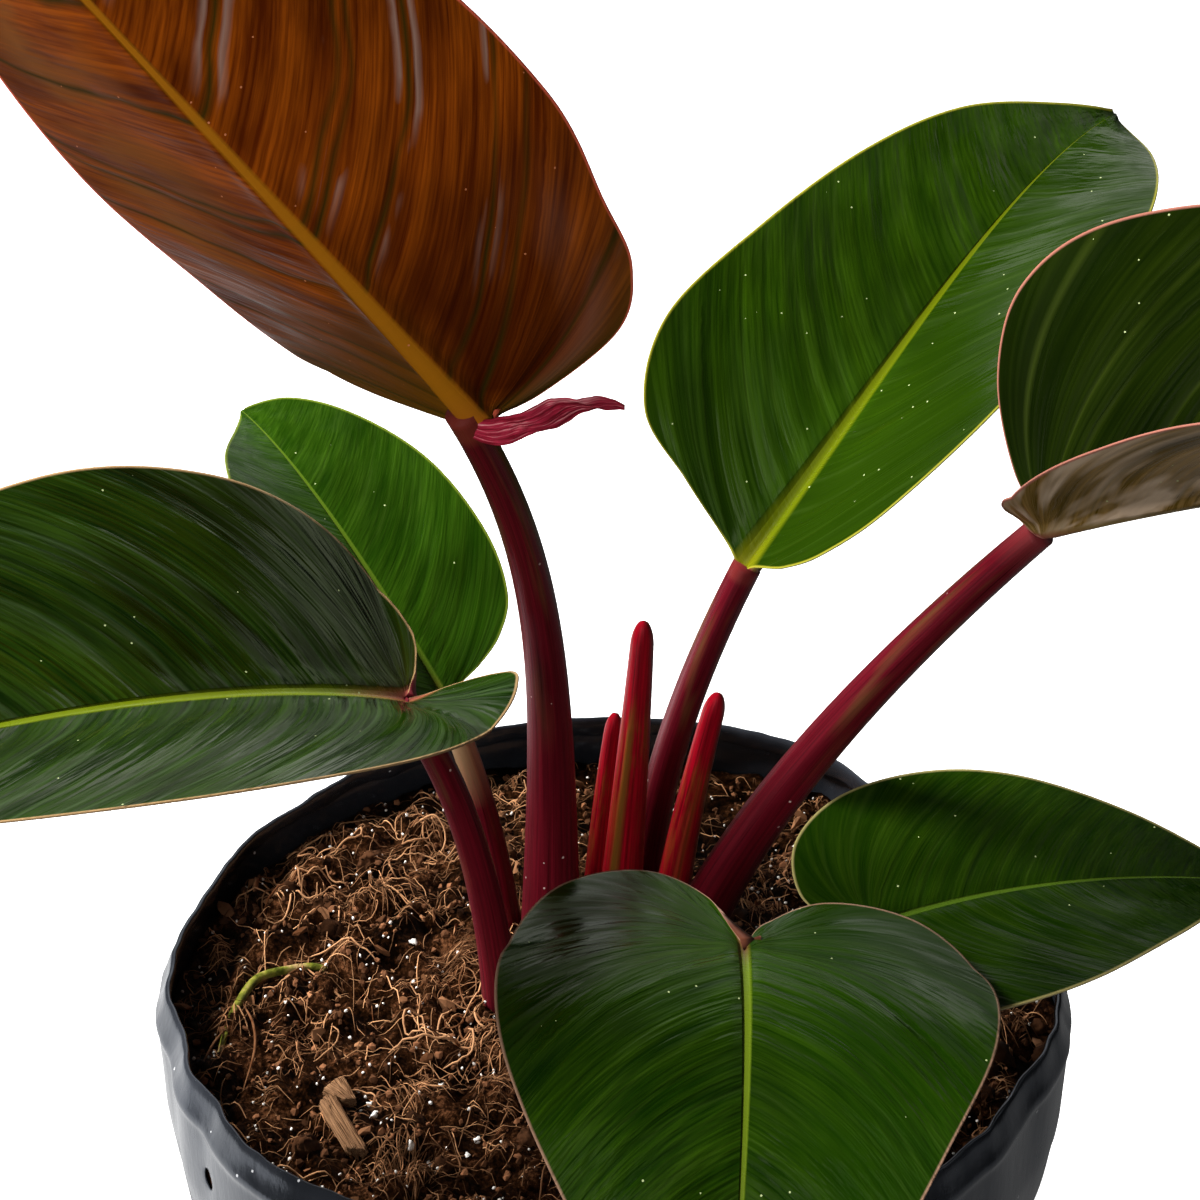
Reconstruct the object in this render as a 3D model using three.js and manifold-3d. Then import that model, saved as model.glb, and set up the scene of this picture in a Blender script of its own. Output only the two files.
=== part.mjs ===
// A young red-stemmed philodendron in a round black film nursery bag.
// Millimetres, +Z up. The origin is the middle of the bag's flat base, and the front is -Y.

import * as THREE from 'three';
import { mergeVertices } from 'three/addons/utils/BufferGeometryUtils.js';
import Module from 'manifold-3d';

const wasm = await Module();
wasm.setup();

// Clearance left between neighbouring pieces, and between a stalk and its blade.
const GAP = 0.3;
const BLADE_GAP = 0.4;

// The bag: a film bag filled until it stands as a round pot.
const BAG = {
  rimHeight: 150,
  wall: 1.2,
  // Outer radius at each depth below the rim, from the rim down to the base.
  profile: [[0, 113], [6, 113], [17, 113], [30, 113], [45, 111], [60, 106], [80, 98], [105, 88], [130, 78],
    [150, 68]],
  hemDepth: 6,
  hemThickness: 1.2,
  segments: 44,
  // Slow waves of the wall round the bag: [waves per turn, height, phase in degrees].
  waves: [[1, 1.4, -90], [3, 1.2, 90], [5, 0.6, 20], [9, 0.5, 130]],
  // Pinched folds of the rim: [direction in degrees from +X, depth, half width in degrees].
  pinches: [[-162, 2.2, 5], [-148, 1.8, 4], [-28, 2.0, 5], [46, 4.5, 8], [142, 2.4, 7]],
  pinchReach: 45,
  // Rows of punched holes: [depth below the rim, holes in the row, direction of the first in degrees].
  holeRows: [[21, 7, 8], [36, 7, 33]],
  holeDiameter: 5,
  holeSides: 8,
  punchLength: 10,
};

// The potting mix: level at the wall, mounded round the plant, with a hump at the left back.
const SOIL = {
  depthAtWall: 16,
  // The soil's edge is drawn down a little where it meets the wall.
  edgeDrop: 1,
  wallGap: 0.4,
  rings: 7,
  // Broad mounds: [x, y, height, spread].
  mounds: [[-3, 10, 6, 40], [-45, 45, 5, 30]],
  // Clumps, as two crossed sets of ripples: [height, length in x, length in y, phase].
  clumps: [[0.9, 27, 31, 0.4], [0.6, -15, 19, 2.1]],
};

// Blade thickness, and the midrib that stands out below it.
const BLADE = {
  thickness: 0.8,
  ribHeight: 3.2,
  ribHalfWidth: 4,
  ribTaper: 0.8,
  rows: 13,
  // Places of the columns from the midrib to the margin, as shares of the half blade.
  columns: [0, 0.05, 0.12, 0.32, 0.56, 0.8, 1],
  sinus: 0.02,
  tip: 0.985,
  apex: 1.02,
  // Each column of the blade follows a side vein: it leaves the midrib, bows forwards and ends at the margin.
  veinBow: 0.18,
  veinReach: 0.55,
  veinSweep: 1.35,
};

// Half outlines of a blade from the stalk to the tip: [along / length, across / half width].
const HEART = [[0, 0], [-0.08, 0.1], [-0.14, 0.37], [-0.1, 0.77], [0.05, 1], [0.28, 0.98], [0.5, 0.77],
  [0.74, 0.45], [0.92, 0.15], [1, 0]];
const BLUNT_HEART = [[0, 0], [-0.08, 0.1], [-0.14, 0.36], [-0.1, 0.7], [0.05, 0.92], [0.28, 0.96],
  [0.5, 0.84], [0.74, 0.52], [0.92, 0.18], [1, 0]];
const DEEP_HEART = [[0, 0], [-0.14, 0.14], [-0.22, 0.42], [-0.17, 0.78], [0.02, 0.98], [0.27, 0.99],
  [0.48, 0.84], [0.72, 0.5], [0.9, 0.2], [1, 0]];
const EGG = [[0, 0], [-0.02, 0.1], [-0.03, 0.3], [0.01, 0.55], [0.12, 0.77], [0.3, 0.94], [0.52, 1],
  [0.75, 0.82], [0.92, 0.4], [1, 0]];
const LOBED_EGG = [[0, 0], [-0.05, 0.08], [-0.08, 0.24], [-0.05, 0.46], [0.1, 0.72], [0.3, 0.9],
  [0.52, 0.96], [0.75, 0.8], [0.92, 0.4], [1, 0]];
const ROUND = [[0, 0], [-0.03, 0.22], [-0.03, 0.56], [0.02, 0.85], [0.13, 1], [0.32, 0.98], [0.56, 0.82],
  [0.78, 0.54], [0.93, 0.22], [1, 0]];
const OBLONG = [[0, 0], [-0.03, 0.24], [-0.04, 0.62], [0.02, 0.8], [0.13, 0.86], [0.3, 0.94],
  [0.55, 0.87], [0.78, 0.58], [0.93, 0.25], [1, 0]];
const BROAD_BASE = [[0, 0], [-0.03, 0.22], [-0.03, 0.68], [0.02, 0.91], [0.13, 0.89], [0.32, 0.82],
  [0.56, 0.77], [0.78, 0.58], [0.93, 0.27], [1, 0]];
const NARROW_BASE = [[0, 0], [0.02, 0.1], [0.05, 0.28], [0.1, 0.45], [0.18, 0.65], [0.33, 0.92],
  [0.55, 0.95], [0.78, 0.66], [0.93, 0.28], [1, 0]];
const SHOULDER = [[0, 0], [0.02, 0.12], [0.04, 0.35], [0.08, 0.6], [0.16, 0.82], [0.32, 0.94],
  [0.55, 0.9], [0.78, 0.65], [0.94, 0.34], [1, 0]];
const TAPERED = [[0, 0], [0.02, 0.14], [0.06, 0.48], [0.11, 0.84], [0.24, 1.02], [0.43, 0.92],
  [0.62, 0.76], [0.78, 0.54], [0.91, 0.22], [1, 0]];

// The seven leaves. The stalk and the midrib are cubic curves, each from the soil outwards.
// face: the way the upper side faces. fold: how far each half is folded up at its base and at its tip.
// curl: the further turn of each half towards its margin. flare: rise of the lobes behind the stalk.
const LEAVES = [
  {
    name: 'front_left',
    stalk: [[-15.5, 8, 120], [-15.5, 14, 200], [-10, 8, 248], [-31, -13, 300]],
    stalkRadius: [9, 5.8, 3.8],
    midrib: [[-29, -12, 302], [-54, -32, 343], [-83, -46, 385], [-138, -36, 446]],
    face: [0.3, 0.68, -0.32],
    halfWidth: 59,
    outlines: [OBLONG, BROAD_BASE],
    fold: [[31, 22], [38, 27]],
    curl: [0, 0],
    flare: 0,
    wave: { height: 1.2, count: 1.5, phase: 0.2 },
  },
  {
    name: 'back_right',
    stalk: [[8, 34, 120], [6, 35, 165], [18, 35, 205], [32, 38.8, 235.4]],
    stalkRadius: [6, 4.6, 3.8],
    midrib: [[32, 38, 237], [66, 57, 280], [100, 98, 319], [132, 131, 323]],
    face: [-0.3, -0.65, 0.59],
    halfWidth: 51,
    outlines: [TAPERED, SHOULDER],
    fold: [[22, 12], [48, 8]],
    curl: [0, 0],
    flare: 0,
    wave: { height: 1.5, count: 1.5, phase: 0.6 },
  },
  {
    name: 'right',
    stalk: [[13, 8, 120], [20, 9, 172], [63, 0, 233], [94.6, -14.6, 275.6]],
    stalkRadius: [8.4, 6.8, 3.8],
    midrib: [[95, -15, 278], [143, -37, 302], [195, -58, 322], [252, -84, 294]],
    face: [-0.3, -0.1, 1],
    halfWidth: 64,
    outlines: [ROUND, NARROW_BASE],
    fold: [[50, 25], [58, 30]],
    curl: [0, 0],
    flare: 0,
    wave: { height: 1, count: 1, phase: 0.1 },
  },
  {
    name: 'left',
    stalk: [[-26.5, -5, 120], [-27, -5, 165], [-36, -5, 208], [-49, -8.5, 225.8]],
    stalkRadius: [6, 4, 3.6],
    midrib: [[-48, -9, 229], [-78, -31, 247], [-125, -52, 255], [-200, -85, 245]],
    face: [0, -0.3, 1],
    halfWidth: 59,
    outlines: [LOBED_EGG, EGG],
    fold: [[27, 24], [24, 15]],
    curl: [0, 0],
    flare: 0.5,
    wave: { height: 1.5, count: 2, phase: 0.3 },
  },
  {
    name: 'back_left',
    stalk: [[-27, 23, 120], [-26, 24, 155], [-34, 27, 185], [-41.3, 32, 202.6]],
    stalkRadius: [5.2, 3.6, 3],
    midrib: [[-41, 31, 204], [-57, 44, 229], [-80, 76, 249], [-98, 102, 251]],
    face: [0.2, -0.6, 0.67],
    halfWidth: 33,
    outlines: [TAPERED, SHOULDER],
    fold: [[36, 25], [15, 5]],
    curl: [0, 0],
    flare: 0,
    wave: { height: 0.8, count: 1.5, phase: 0 },
  },
  {
    name: 'front',
    stalk: [[1, -4, 120], [1, -6, 150], [17, -36, 166], [28.8, -58.5, 191]],
    stalkRadius: [6.6, 4.8, 4],
    midrib: [[29, -60, 195], [29, -92, 200], [26, -130, 182], [22, -145, 105]],
    face: [0, -0.1, 1],
    halfWidth: 54,
    outlines: [HEART, DEEP_HEART],
    fold: [[0, 20], [10, 15]],
    curl: [-14, -20],
    flare: 0.1,
    wave: { height: 1, count: 2, phase: 0.4 },
  },
  {
    name: 'front_right',
    stalk: [[17, -8, 120], [17, -9, 145], [37, -21, 168], [58.8, -34.6, 179.4]],
    stalkRadius: [5.2, 3.8, 3.2],
    midrib: [[60.5, -35.5, 184], [87, -29, 190], [118, -23, 191], [153, -16, 182]],
    face: [0, -0.3, 1],
    halfWidth: 38.5,
    outlines: [BLUNT_HEART, BLUNT_HEART],
    fold: [[5, 5], [12, 10]],
    curl: [0, 0],
    flare: 0,
    wave: { height: 0.8, count: 1.5, phase: 0.5 },
  },
];

// New leaves still rolled up: pointed tubes between the stalks.
const SPEARS = [
  {
    name: 'tall',
    path: [[0.5, 15, 120], [2, 15, 160], [6, 14, 205], [7.5, 12, 238]],
    radius: [7.4, 6.6, 2.8],
  },
  {
    name: 'short',
    path: [[-4.5, 28, 120], [-4, 27, 150], [-2, 26, 180], [1, 24, 205]],
    radius: [5, 4.6, 2.2],
  },
  {
    name: 'right',
    path: [[13, 22, 120], [14, 22, 150], [20, 20, 185], [26, 17, 215]],
    radius: [6.2, 5.6, 2.8],
  },
];

const STALK_SIDES = 10;
const STALK_STEPS = 12;
const GROOVE_DEPTH = 0.14;
const GROOVE_WIDTH = 0.4;
// The step where a rolled leaf's outer margin ends, and where along its length the tip starts to close.
const ROLL_STEP = 0.16;
const TIP_FROM = 0.94;
const TIP_CLOSING = 0.75;

// The short stem that the leaves grow from, mostly below the soil.
const STEM = {
  path: [[-3, 12, 96], [-3, 12, 110], [-2, 13, 130], [-2, 14, 147]],
  radius: [13, 15, 9],
  ribs: 5,
  ribHeight: 0.07,
  steps: 4,
};

// The crumpled dry sheath left where the front left blade joins its stalk.
const DRY_SHEATH = {
  path: [[-31, -15.5, 301.3], [-21, -23, 300], [-10.5, -14, 310], [2.5, -10, 303.5]],
  halfWidth: 3.4,
  thickness: 0.7,
  crumple: 1.1,
  folds: 2.6,
  twist: [-25, 35],
};

// Chips of coconut husk bedded in the soil: centre, turn about Z in degrees, length, width, thickness.
const CHIPS = [
  { name: 'long', centre: [-63.5, -51, 135.5], turn: -62, size: [19, 6.5, 3] },
  { name: 'broad', centre: [-65.5, -33, 136.5], turn: -20, size: [9, 6, 2.6] },
];

// One green root that lies in an arch on the soil at the left: [x, y, height over the soil].
const ROOT = {
  path: [[-99, -23, -4], [-98, -12, 0.9], [-94, 2, 1.2], [-84, 10, 1.2], [-72, 11, 0.9], [-65, 6, -3]],
  radius: 0.8,
};

const MATERIALS = {
  film: { color: 0x15181c, roughness: 0.32, metalness: 0 },
  soil: { color: 0x3a2115, roughness: 0.95, metalness: 0 },
  husk: { color: 0xa8693f, roughness: 0.9, metalness: 0 },
  green: { color: 0x1e4a0c, roughness: 0.35, metalness: 0 },
  copper: { color: 0x6b2c10, roughness: 0.4, metalness: 0 },
  stalk: { color: 0x5c1226, roughness: 0.45, metalness: 0 },
  spear: { color: 0xa50d1a, roughness: 0.35, metalness: 0 },
  dry: { color: 0x8a1c33, roughness: 0.6, metalness: 0 },
  moss: { color: 0x6f7a2a, roughness: 0.8, metalness: 0 },
  crown: { color: 0x4a2a1c, roughness: 0.8, metalness: 0 },
};

const degrees = THREE.MathUtils.degToRad;

// A geometry with only its corners left, merged where they meet, as one closed solid.
function toSolid(geometry) {
  const bare = new THREE.BufferGeometry();
  bare.setAttribute('position', geometry.getAttribute('position'));
  bare.setIndex(geometry.getIndex());
  const merged = mergeVertices(bare, 1e-3);
  const index = merged.getIndex().array;
  const kept = [];
  for (let i = 0; i < index.length; i += 3) {
    const [a, b, c] = [index[i], index[i + 1], index[i + 2]];
    if (a !== b && b !== c && c !== a) {
      kept.push(a, b, c);
    }
  }
  return new wasm.Manifold(new wasm.Mesh({
    numProp: 3,
    vertProperties: new Float32Array(merged.getAttribute('position').array),
    triVerts: new Uint32Array(kept),
  }));
}

// The solid less the others, without the small scraps that a cut may leave.
function cut(solid, others) {
  const left = others.reduce((rest, other) => rest.subtract(other), solid);
  const bodies = left.decompose();
  return bodies.reduce((largest, body) => (body.volume() > largest.volume() ? body : largest));
}

// A thin sheet with room round it: copies of it moved both ways along each axis.
function withRoom(sheet, room) {
  const ways = [[1, 0, 0], [0, 1, 0], [0, 0, 1]].flatMap((way) => [way, way.map((step) => -step)]);
  return ways.map((way) => sheet.translate(way.map((step) => step * room)));
}

function toGeometry(solid) {
  const mesh = solid.getMesh();
  const geometry = new THREE.BufferGeometry();
  geometry.setAttribute('position', new THREE.BufferAttribute(new Float32Array(mesh.vertProperties), 3));
  geometry.setIndex(new THREE.BufferAttribute(new Uint32Array(mesh.triVerts), 1));
  return geometry;
}

function toVectors(points) {
  return points.map((point) => new THREE.Vector3(...point));
}

// Bag wall radius at a height and a direction: the profile with the waves and pinches of the film.
function bagRadius(depth, angle) {
  const profile = BAG.profile;
  let row = 1;
  while (row < profile.length - 1 && depth > profile[row][0]) {
    row += 1;
  }
  const [depthAbove, radiusAbove] = profile[row - 1];
  const [depthBelow, radiusBelow] = profile[row];
  const share = (depth - depthAbove) / (depthBelow - depthAbove);
  const radius = THREE.MathUtils.lerp(radiusAbove, radiusBelow, share);
  const loose = 1 - THREE.MathUtils.smoothstep(depth, 0, BAG.rimHeight);
  let shift = 0;
  for (const [count, height, phase] of BAG.waves) {
    shift += height * Math.cos(count * angle + degrees(phase)) * loose;
  }
  for (const [direction, pinchDepth, halfWidth] of BAG.pinches) {
    const turn = Math.cos(angle - degrees(direction));
    const away = Math.acos(THREE.MathUtils.clamp(turn, -1, 1)) / degrees(halfWidth);
    shift -= pinchDepth * Math.exp(-away * away) * Math.exp(-depth / BAG.pinchReach);
  }
  return radius + shift;
}

// A turned solid whose corners [inset, z] are measured inwards from the bag's outer wall.
// A corner with an inset of null lies on the axis.
function bagTurned(corners) {
  const profile = corners.map(([inset, z]) => new THREE.Vector2(inset === null ? 0 : 1, z));
  const geometry = new THREE.LatheGeometry(profile, BAG.segments);
  const position = geometry.getAttribute('position');
  for (let i = 0; i < position.count; i += 1) {
    const [inset, z] = corners[i % corners.length];
    const angle = Math.atan2(position.getZ(i), position.getX(i));
    const radius = inset === null ? 0 : bagRadius(BAG.rimHeight - z, angle) - inset;
    position.setXYZ(i, radius * Math.cos(angle), radius * Math.sin(angle), z);
  }
  return geometry;
}

function flipped(geometry) {
  geometry.getIndex().array.reverse();
  return geometry;
}

function growBag() {
  const heights = BAG.profile.map(([depth]) => BAG.rimHeight - depth);
  const outer = heights.map((z) => [0, z]).reverse();
  const hemInset = BAG.wall + BAG.hemThickness;
  const hem = [[hemInset, BAG.rimHeight], [hemInset, BAG.rimHeight - BAG.hemDepth]];
  const inner = heights.slice(1, -1).map((z) => [BAG.wall, z]);
  const floor = [[BAG.wall, BAG.wall], [null, BAG.wall]];
  const shell = toSolid(flipped(bagTurned([[null, 0], ...outer, ...hem, ...inner, ...floor])));
  return cut(shell, bagHoles());
}

function bagHoles() {
  const holes = [];
  for (const [depth, count, first] of BAG.holeRows) {
    for (let i = 0; i < count; i += 1) {
      const angle = degrees(first + (360 * i) / count);
      const radius = bagRadius(depth, angle);
      const across = BAG.holeDiameter / 2;
      const hole = new THREE.CylinderGeometry(across, across, BAG.punchLength, BAG.holeSides);
      hole.rotateZ(Math.PI / 2);
      hole.translate(radius - BAG.wall / 2, 0, BAG.rimHeight - depth);
      hole.rotateZ(angle);
      holes.push(toSolid(hole));
    }
  }
  return holes;
}

function soilHeight(x, y) {
  let z = BAG.rimHeight - SOIL.depthAtWall;
  for (const [centreX, centreY, height, spread] of SOIL.mounds) {
    const distance = Math.hypot(x - centreX, y - centreY) / spread;
    z += height * Math.exp(-0.5 * distance * distance);
  }
  for (const [height, lengthX, lengthY, phase] of SOIL.clumps) {
    z += height * Math.sin((2 * Math.PI * x) / lengthX + phase) * Math.cos((2 * Math.PI * y) / lengthY);
  }
  return z;
}

function pottingMix(stems) {
  const inset = BAG.wall + SOIL.wallGap;
  const edge = BAG.rimHeight - SOIL.depthAtWall;
  const shoulder = edge - SOIL.edgeDrop;
  const floor = BAG.wall + GAP;
  const heights = BAG.profile.map(([depth]) => BAG.rimHeight - depth);
  const wall = heights.filter((z) => z < shoulder && z > floor).map((z) => [inset, z]).reverse();
  const corners = [[null, floor], [inset, floor], ...wall, [inset, shoulder]];
  const wallCorners = corners.length;
  for (let ring = SOIL.rings - 1; ring > 0; ring -= 1) {
    corners.push([inset, edge]);
  }
  corners.push([null, edge]);
  const geometry = bagTurned(corners);
  const position = geometry.getAttribute('position');
  for (let i = 0; i < position.count; i += 1) {
    const ring = (i % corners.length) - wallCorners + 1;
    if (ring > 0) {
      const share = ring === SOIL.rings ? 0 : 1 - ring / SOIL.rings;
      const x = position.getX(i) * share;
      const y = position.getY(i) * share;
      position.setXYZ(i, x, y, soilHeight(x, y));
    }
  }
  return cut(toSolid(flipped(geometry)), stems);
}

// Radius along a stalk or spear from its three named radii: base, middle and end.
function radiusAlong([base, middle, end], share) {
  const nearBase = Math.pow(1 - share, 3);
  return THREE.MathUtils.lerp(middle, end, share) + (base - middle) * nearBase;
}

// A closed tube bent along a cubic curve. section(angle, share) scales its radius; angle 0 faces `face`.
function bentTube(path, radii, face, section, extra, steps = STALK_STEPS) {
  const curve = new THREE.CubicBezierCurve3(...toVectors(path));
  const geometry = new THREE.CylinderGeometry(1, 1, 1, STALK_SIDES, steps);
  const position = geometry.getAttribute('position');
  const facing = new THREE.Vector3(...face);
  for (let i = 0; i < position.count; i += 1) {
    const share = position.getY(i) + 0.5;
    const angle = Math.atan2(position.getX(i), position.getZ(i));
    const reach = Math.hypot(position.getX(i), position.getZ(i));
    const tangent = curve.getTangent(share);
    const side = new THREE.Vector3().crossVectors(tangent, facing).normalize();
    const up = new THREE.Vector3().crossVectors(side, tangent);
    const radius = reach * (radiusAlong(radii, share) * section(angle, share) + extra);
    const point = curve.getPoint(share);
    point.addScaledVector(side, radius * Math.sin(angle));
    point.addScaledVector(up, radius * Math.cos(angle));
    point.addScaledVector(tangent, extra * Math.trunc(2 * share - 1));
    position.setXYZ(i, point.x, point.y, point.z);
  }
  return toSolid(geometry);
}

// A stalk is round, with a shallow groove along its inner side, which faces up where the stalk leans out.
function stalkSolid(leaf, extra = 0) {
  const [start, , , end] = toVectors(leaf.stalk);
  const outward = end.sub(start).setZ(0).normalize();
  const inner = [-outward.x, -outward.y, 1];
  const section = (angle) => 1 - GROOVE_DEPTH * Math.exp(-Math.pow(angle / GROOVE_WIDTH, 2));
  return bentTube(leaf.stalk, leaf.stalkRadius, inner, section, extra);
}

// A spear is a rolled leaf: its radius steps back where the roll ends, and its tip is rounded off.
function spearSolid(spear, extra = 0) {
  const section = (angle, share) => {
    const roll = 1 - ROLL_STEP * (angle / (2 * Math.PI) + 0.5) * (1 - share);
    const closing = Math.max(0, (share - TIP_FROM) / (1 - TIP_FROM));
    return roll * Math.sqrt(1 - TIP_CLOSING * closing * closing);
  };
  return bentTube(spear.path, spear.radius, [0, -1, 0], section, extra);
}

function stemSolid(extra = 0) {
  const section = (angle) => 1 + STEM.ribHeight * Math.cos(STEM.ribs * angle);
  return bentTube(STEM.path, STEM.radius, [0, -1, 0], section, extra, STEM.steps);
}

// The middle surface of a blade: along runs from stalk to tip, across from -1 to 1 over both halves.
function bladeSurface(leaf) {
  const midrib = new THREE.CubicBezierCurve3(...toVectors(leaf.midrib));
  const length = midrib.getLength();
  const facing = new THREE.Vector3(...leaf.face);
  const outlines = leaf.outlines.map((half) => {
    const points = half.map(([x, y]) => new THREE.Vector2(x, y));
    return new THREE.SplineCurve(points);
  });
  return (along, across) => {
    const half = across < 0 ? 1 : 0;
    const side = across < 0 ? -1 : 1;
    const out = Math.abs(across);
    const margin = outlines[half].getPoint(along);
    const start = BLADE.apex * Math.pow(along, BLADE.veinSweep);
    const bend = 0.5 * (start + margin.x) - (BLADE.veinBow * margin.y * leaf.halfWidth) / length;
    const x = (1 - out) * (1 - out) * start + 2 * out * (1 - out) * bend + out * out * margin.x;
    const y = (2 * out * (1 - out) * BLADE.veinReach + out * out) * margin.y;
    const share = THREE.MathUtils.clamp(x, 0, 1);
    const tangent = midrib.getTangent(share);
    const sideways = new THREE.Vector3().crossVectors(facing, tangent).normalize();
    const up = new THREE.Vector3().crossVectors(tangent, sideways);
    const [baseFold, tipFold] = leaf.fold[half];
    const angle = degrees(THREE.MathUtils.lerp(baseFold, tipFold, share) + 0.5 * leaf.curl[half] * y);
    const reach = y * leaf.halfWidth;
    const ripple = Math.sin(2 * Math.PI * (leaf.wave.count * along + leaf.wave.phase + 0.2 * side));
    const behind = Math.max(0, -x) * length;
    const rise = reach * Math.sin(angle) + leaf.wave.height * out * out * ripple + leaf.flare * behind * out;
    const point = midrib.getPoint(share);
    point.addScaledVector(tangent, (x - share) * length);
    point.addScaledVector(sideways, side * reach * Math.cos(angle));
    point.addScaledVector(up, rise);
    return point;
  };
}

// A blade as a closed sheet: the same grid above and below, and a strip round the margin.
function bladeSolid(leaf) {
  const surface = bladeSurface(leaf);
  const columns = [...BLADE.columns.slice(1).reverse().map((place) => -place), ...BLADE.columns];
  const grid = new THREE.PlaneGeometry(1, 1, BLADE.rows, columns.length - 1);
  const uv = grid.getAttribute('uv');
  const count = uv.count;
  const corners = new Float32Array(count * 6);
  const step = 0.004;
  for (let i = 0; i < count; i += 1) {
    const along = THREE.MathUtils.lerp(BLADE.sinus, BLADE.tip, uv.getX(i));
    const across = columns[Math.round(uv.getY(i) * (columns.length - 1))];
    const ahead = surface(along + step, across).sub(surface(along - step, across));
    const beside = surface(along, Math.min(1, across + step)).sub(surface(along, Math.max(-1, across - step)));
    const normal = ahead.cross(beside).normalize();
    const point = surface(along, across);
    const fromRib = point.distanceTo(surface(along, 0)) / BLADE.ribHalfWidth;
    const rib = Math.exp(-fromRib * fromRib) * Math.pow(1 - along, BLADE.ribTaper);
    const above = point.clone().addScaledVector(normal, BLADE.thickness / 2);
    const below = point.clone().addScaledVector(normal, -BLADE.thickness / 2 - BLADE.ribHeight * rib);
    above.toArray(corners, 3 * i);
    below.toArray(corners, 3 * (count + i));
  }
  const upper = Array.from(grid.getIndex().array);
  const index = [...upper];
  const edges = new Set();
  for (let i = 0; i < upper.length; i += 3) {
    const [a, b, c] = upper.slice(i, i + 3);
    index.push(count + c, count + b, count + a);
    [[a, b], [b, c], [c, a]].forEach(([from, to]) => edges.add(`${from} ${to}`));
  }
  for (const edge of edges) {
    const [from, to] = edge.split(' ').map(Number);
    if (!edges.has(`${to} ${from}`)) {
      index.push(to, from, count + from, to, count + from, count + to);
    }
  }
  const sheet = new THREE.BufferGeometry();
  sheet.setAttribute('position', new THREE.BufferAttribute(corners, 3));
  sheet.setIndex(index);
  return toSolid(sheet);
}

// A narrow crumpled strip that twists as it leaves the stalk.
function drySheathSolid() {
  const curve = new THREE.CubicBezierCurve3(...toVectors(DRY_SHEATH.path));
  const strip = new THREE.BoxGeometry(1, 1, 1, 12, 3, 1);
  const position = strip.getAttribute('position');
  for (let i = 0; i < position.count; i += 1) {
    const share = position.getX(i) + 0.5;
    const across = 2 * position.getY(i);
    const twist = degrees(DRY_SHEATH.twist[0] + (DRY_SHEATH.twist[1] - DRY_SHEATH.twist[0]) * share);
    const width = DRY_SHEATH.halfWidth * Math.pow(Math.sin(Math.PI * (0.12 + 0.84 * share)), 0.6);
    const crease = DRY_SHEATH.crumple * Math.sin(2 * Math.PI * DRY_SHEATH.folds * share + 2.2 * across);
    const lift = crease * Math.sin(Math.PI * share) + position.getZ(i) * DRY_SHEATH.thickness;
    const point = curve.getPoint(share);
    point.y -= lift * Math.cos(twist) + across * width * Math.sin(twist);
    point.z += across * width * Math.cos(twist) - lift * Math.sin(twist);
    position.setXYZ(i, point.x, point.y, point.z);
  }
  return toSolid(strip);
}

// A chip is a split piece of husk with slanted ends.
function chipSolid(chip, extra = 0) {
  const [length, width, thickness] = chip.size.map((size) => size + 2 * extra);
  const outline = new THREE.Shape();
  outline.moveTo(-0.5 * length, -0.3 * width);
  outline.lineTo(0.38 * length, -0.5 * width);
  outline.lineTo(0.5 * length, 0.1 * width);
  outline.lineTo(0.3 * length, 0.42 * width);
  outline.lineTo(-0.42 * length, 0.5 * width);
  outline.closePath();
  const geometry = new THREE.ExtrudeGeometry(outline, { depth: thickness, bevelEnabled: false });
  geometry.translate(0, 0, -thickness / 2);
  geometry.rotateY(degrees(6));
  geometry.rotateZ(degrees(chip.turn));
  geometry.translate(...chip.centre);
  return toSolid(geometry);
}

function rootSolid(extra = 0) {
  const radius = ROOT.radius + extra;
  const section = new THREE.Shape();
  section.absarc(0, 0, radius, 0, 2 * Math.PI);
  const points = ROOT.path.map(([x, y, height]) => [x, y, soilHeight(x, y) + height]);
  const path = new THREE.CatmullRomCurve3(toVectors(points));
  const geometry = new THREE.ExtrudeGeometry(section, { steps: 20, curveSegments: 3, extrudePath: path });
  return toSolid(geometry);
}

const plant = new THREE.Group();

function addNode(group, name, solid, material) {
  const mesh = new THREE.Mesh(toGeometry(solid), new THREE.MeshStandardMaterial(MATERIALS[material]));
  mesh.name = name;
  group.add(mesh);
}

const stalksWithGap = LEAVES.map((leaf) => stalkSolid(leaf, GAP));
const spearsWithGap = SPEARS.map((spear) => spearSolid(spear, GAP));
const blades = LEAVES.map((leaf) => bladeSolid(leaf));
const upright = [...stalksWithGap, ...spearsWithGap];
const bedded = [...CHIPS.map((chip) => chipSolid(chip, GAP)), rootSolid(GAP)];

addNode(plant, 'grow_bag', growBag(), 'film');
addNode(plant, 'potting_mix', pottingMix([...upright, stemSolid(GAP), ...bedded]), 'soil');
addNode(plant, 'stem', cut(stemSolid(), upright), 'crown');
LEAVES.forEach((leaf, i) => {
  const group = new THREE.Group();
  addNode(group, `petiole_${leaf.name}`, cut(stalkSolid(leaf), withRoom(blades[i], BLADE_GAP)), 'stalk');
  addNode(group, `blade_${leaf.name}`, blades[i], leaf.name === 'front_left' ? 'copper' : 'green');
  plant.add(group);
});
SPEARS.forEach((spear) => addNode(plant, `new_leaf_${spear.name}`, spearSolid(spear), 'spear'));
addNode(plant, 'dry_sheath', cut(drySheathSolid(), [stalksWithGap[0], ...withRoom(blades[0], BLADE_GAP)]), 'dry');
CHIPS.forEach((chip) => addNode(plant, `husk_chip_${chip.name}`, chipSolid(chip), 'husk'));
addNode(plant, 'surface_root', rootSolid(), 'moss');

export default plant;
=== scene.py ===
import random
from math import acos, atan, atan2, copysign, cos, exp, hypot, pi, radians, sin, sqrt

import bmesh
import bpy
from mathutils import Euler, Matrix, Vector, noise


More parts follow.
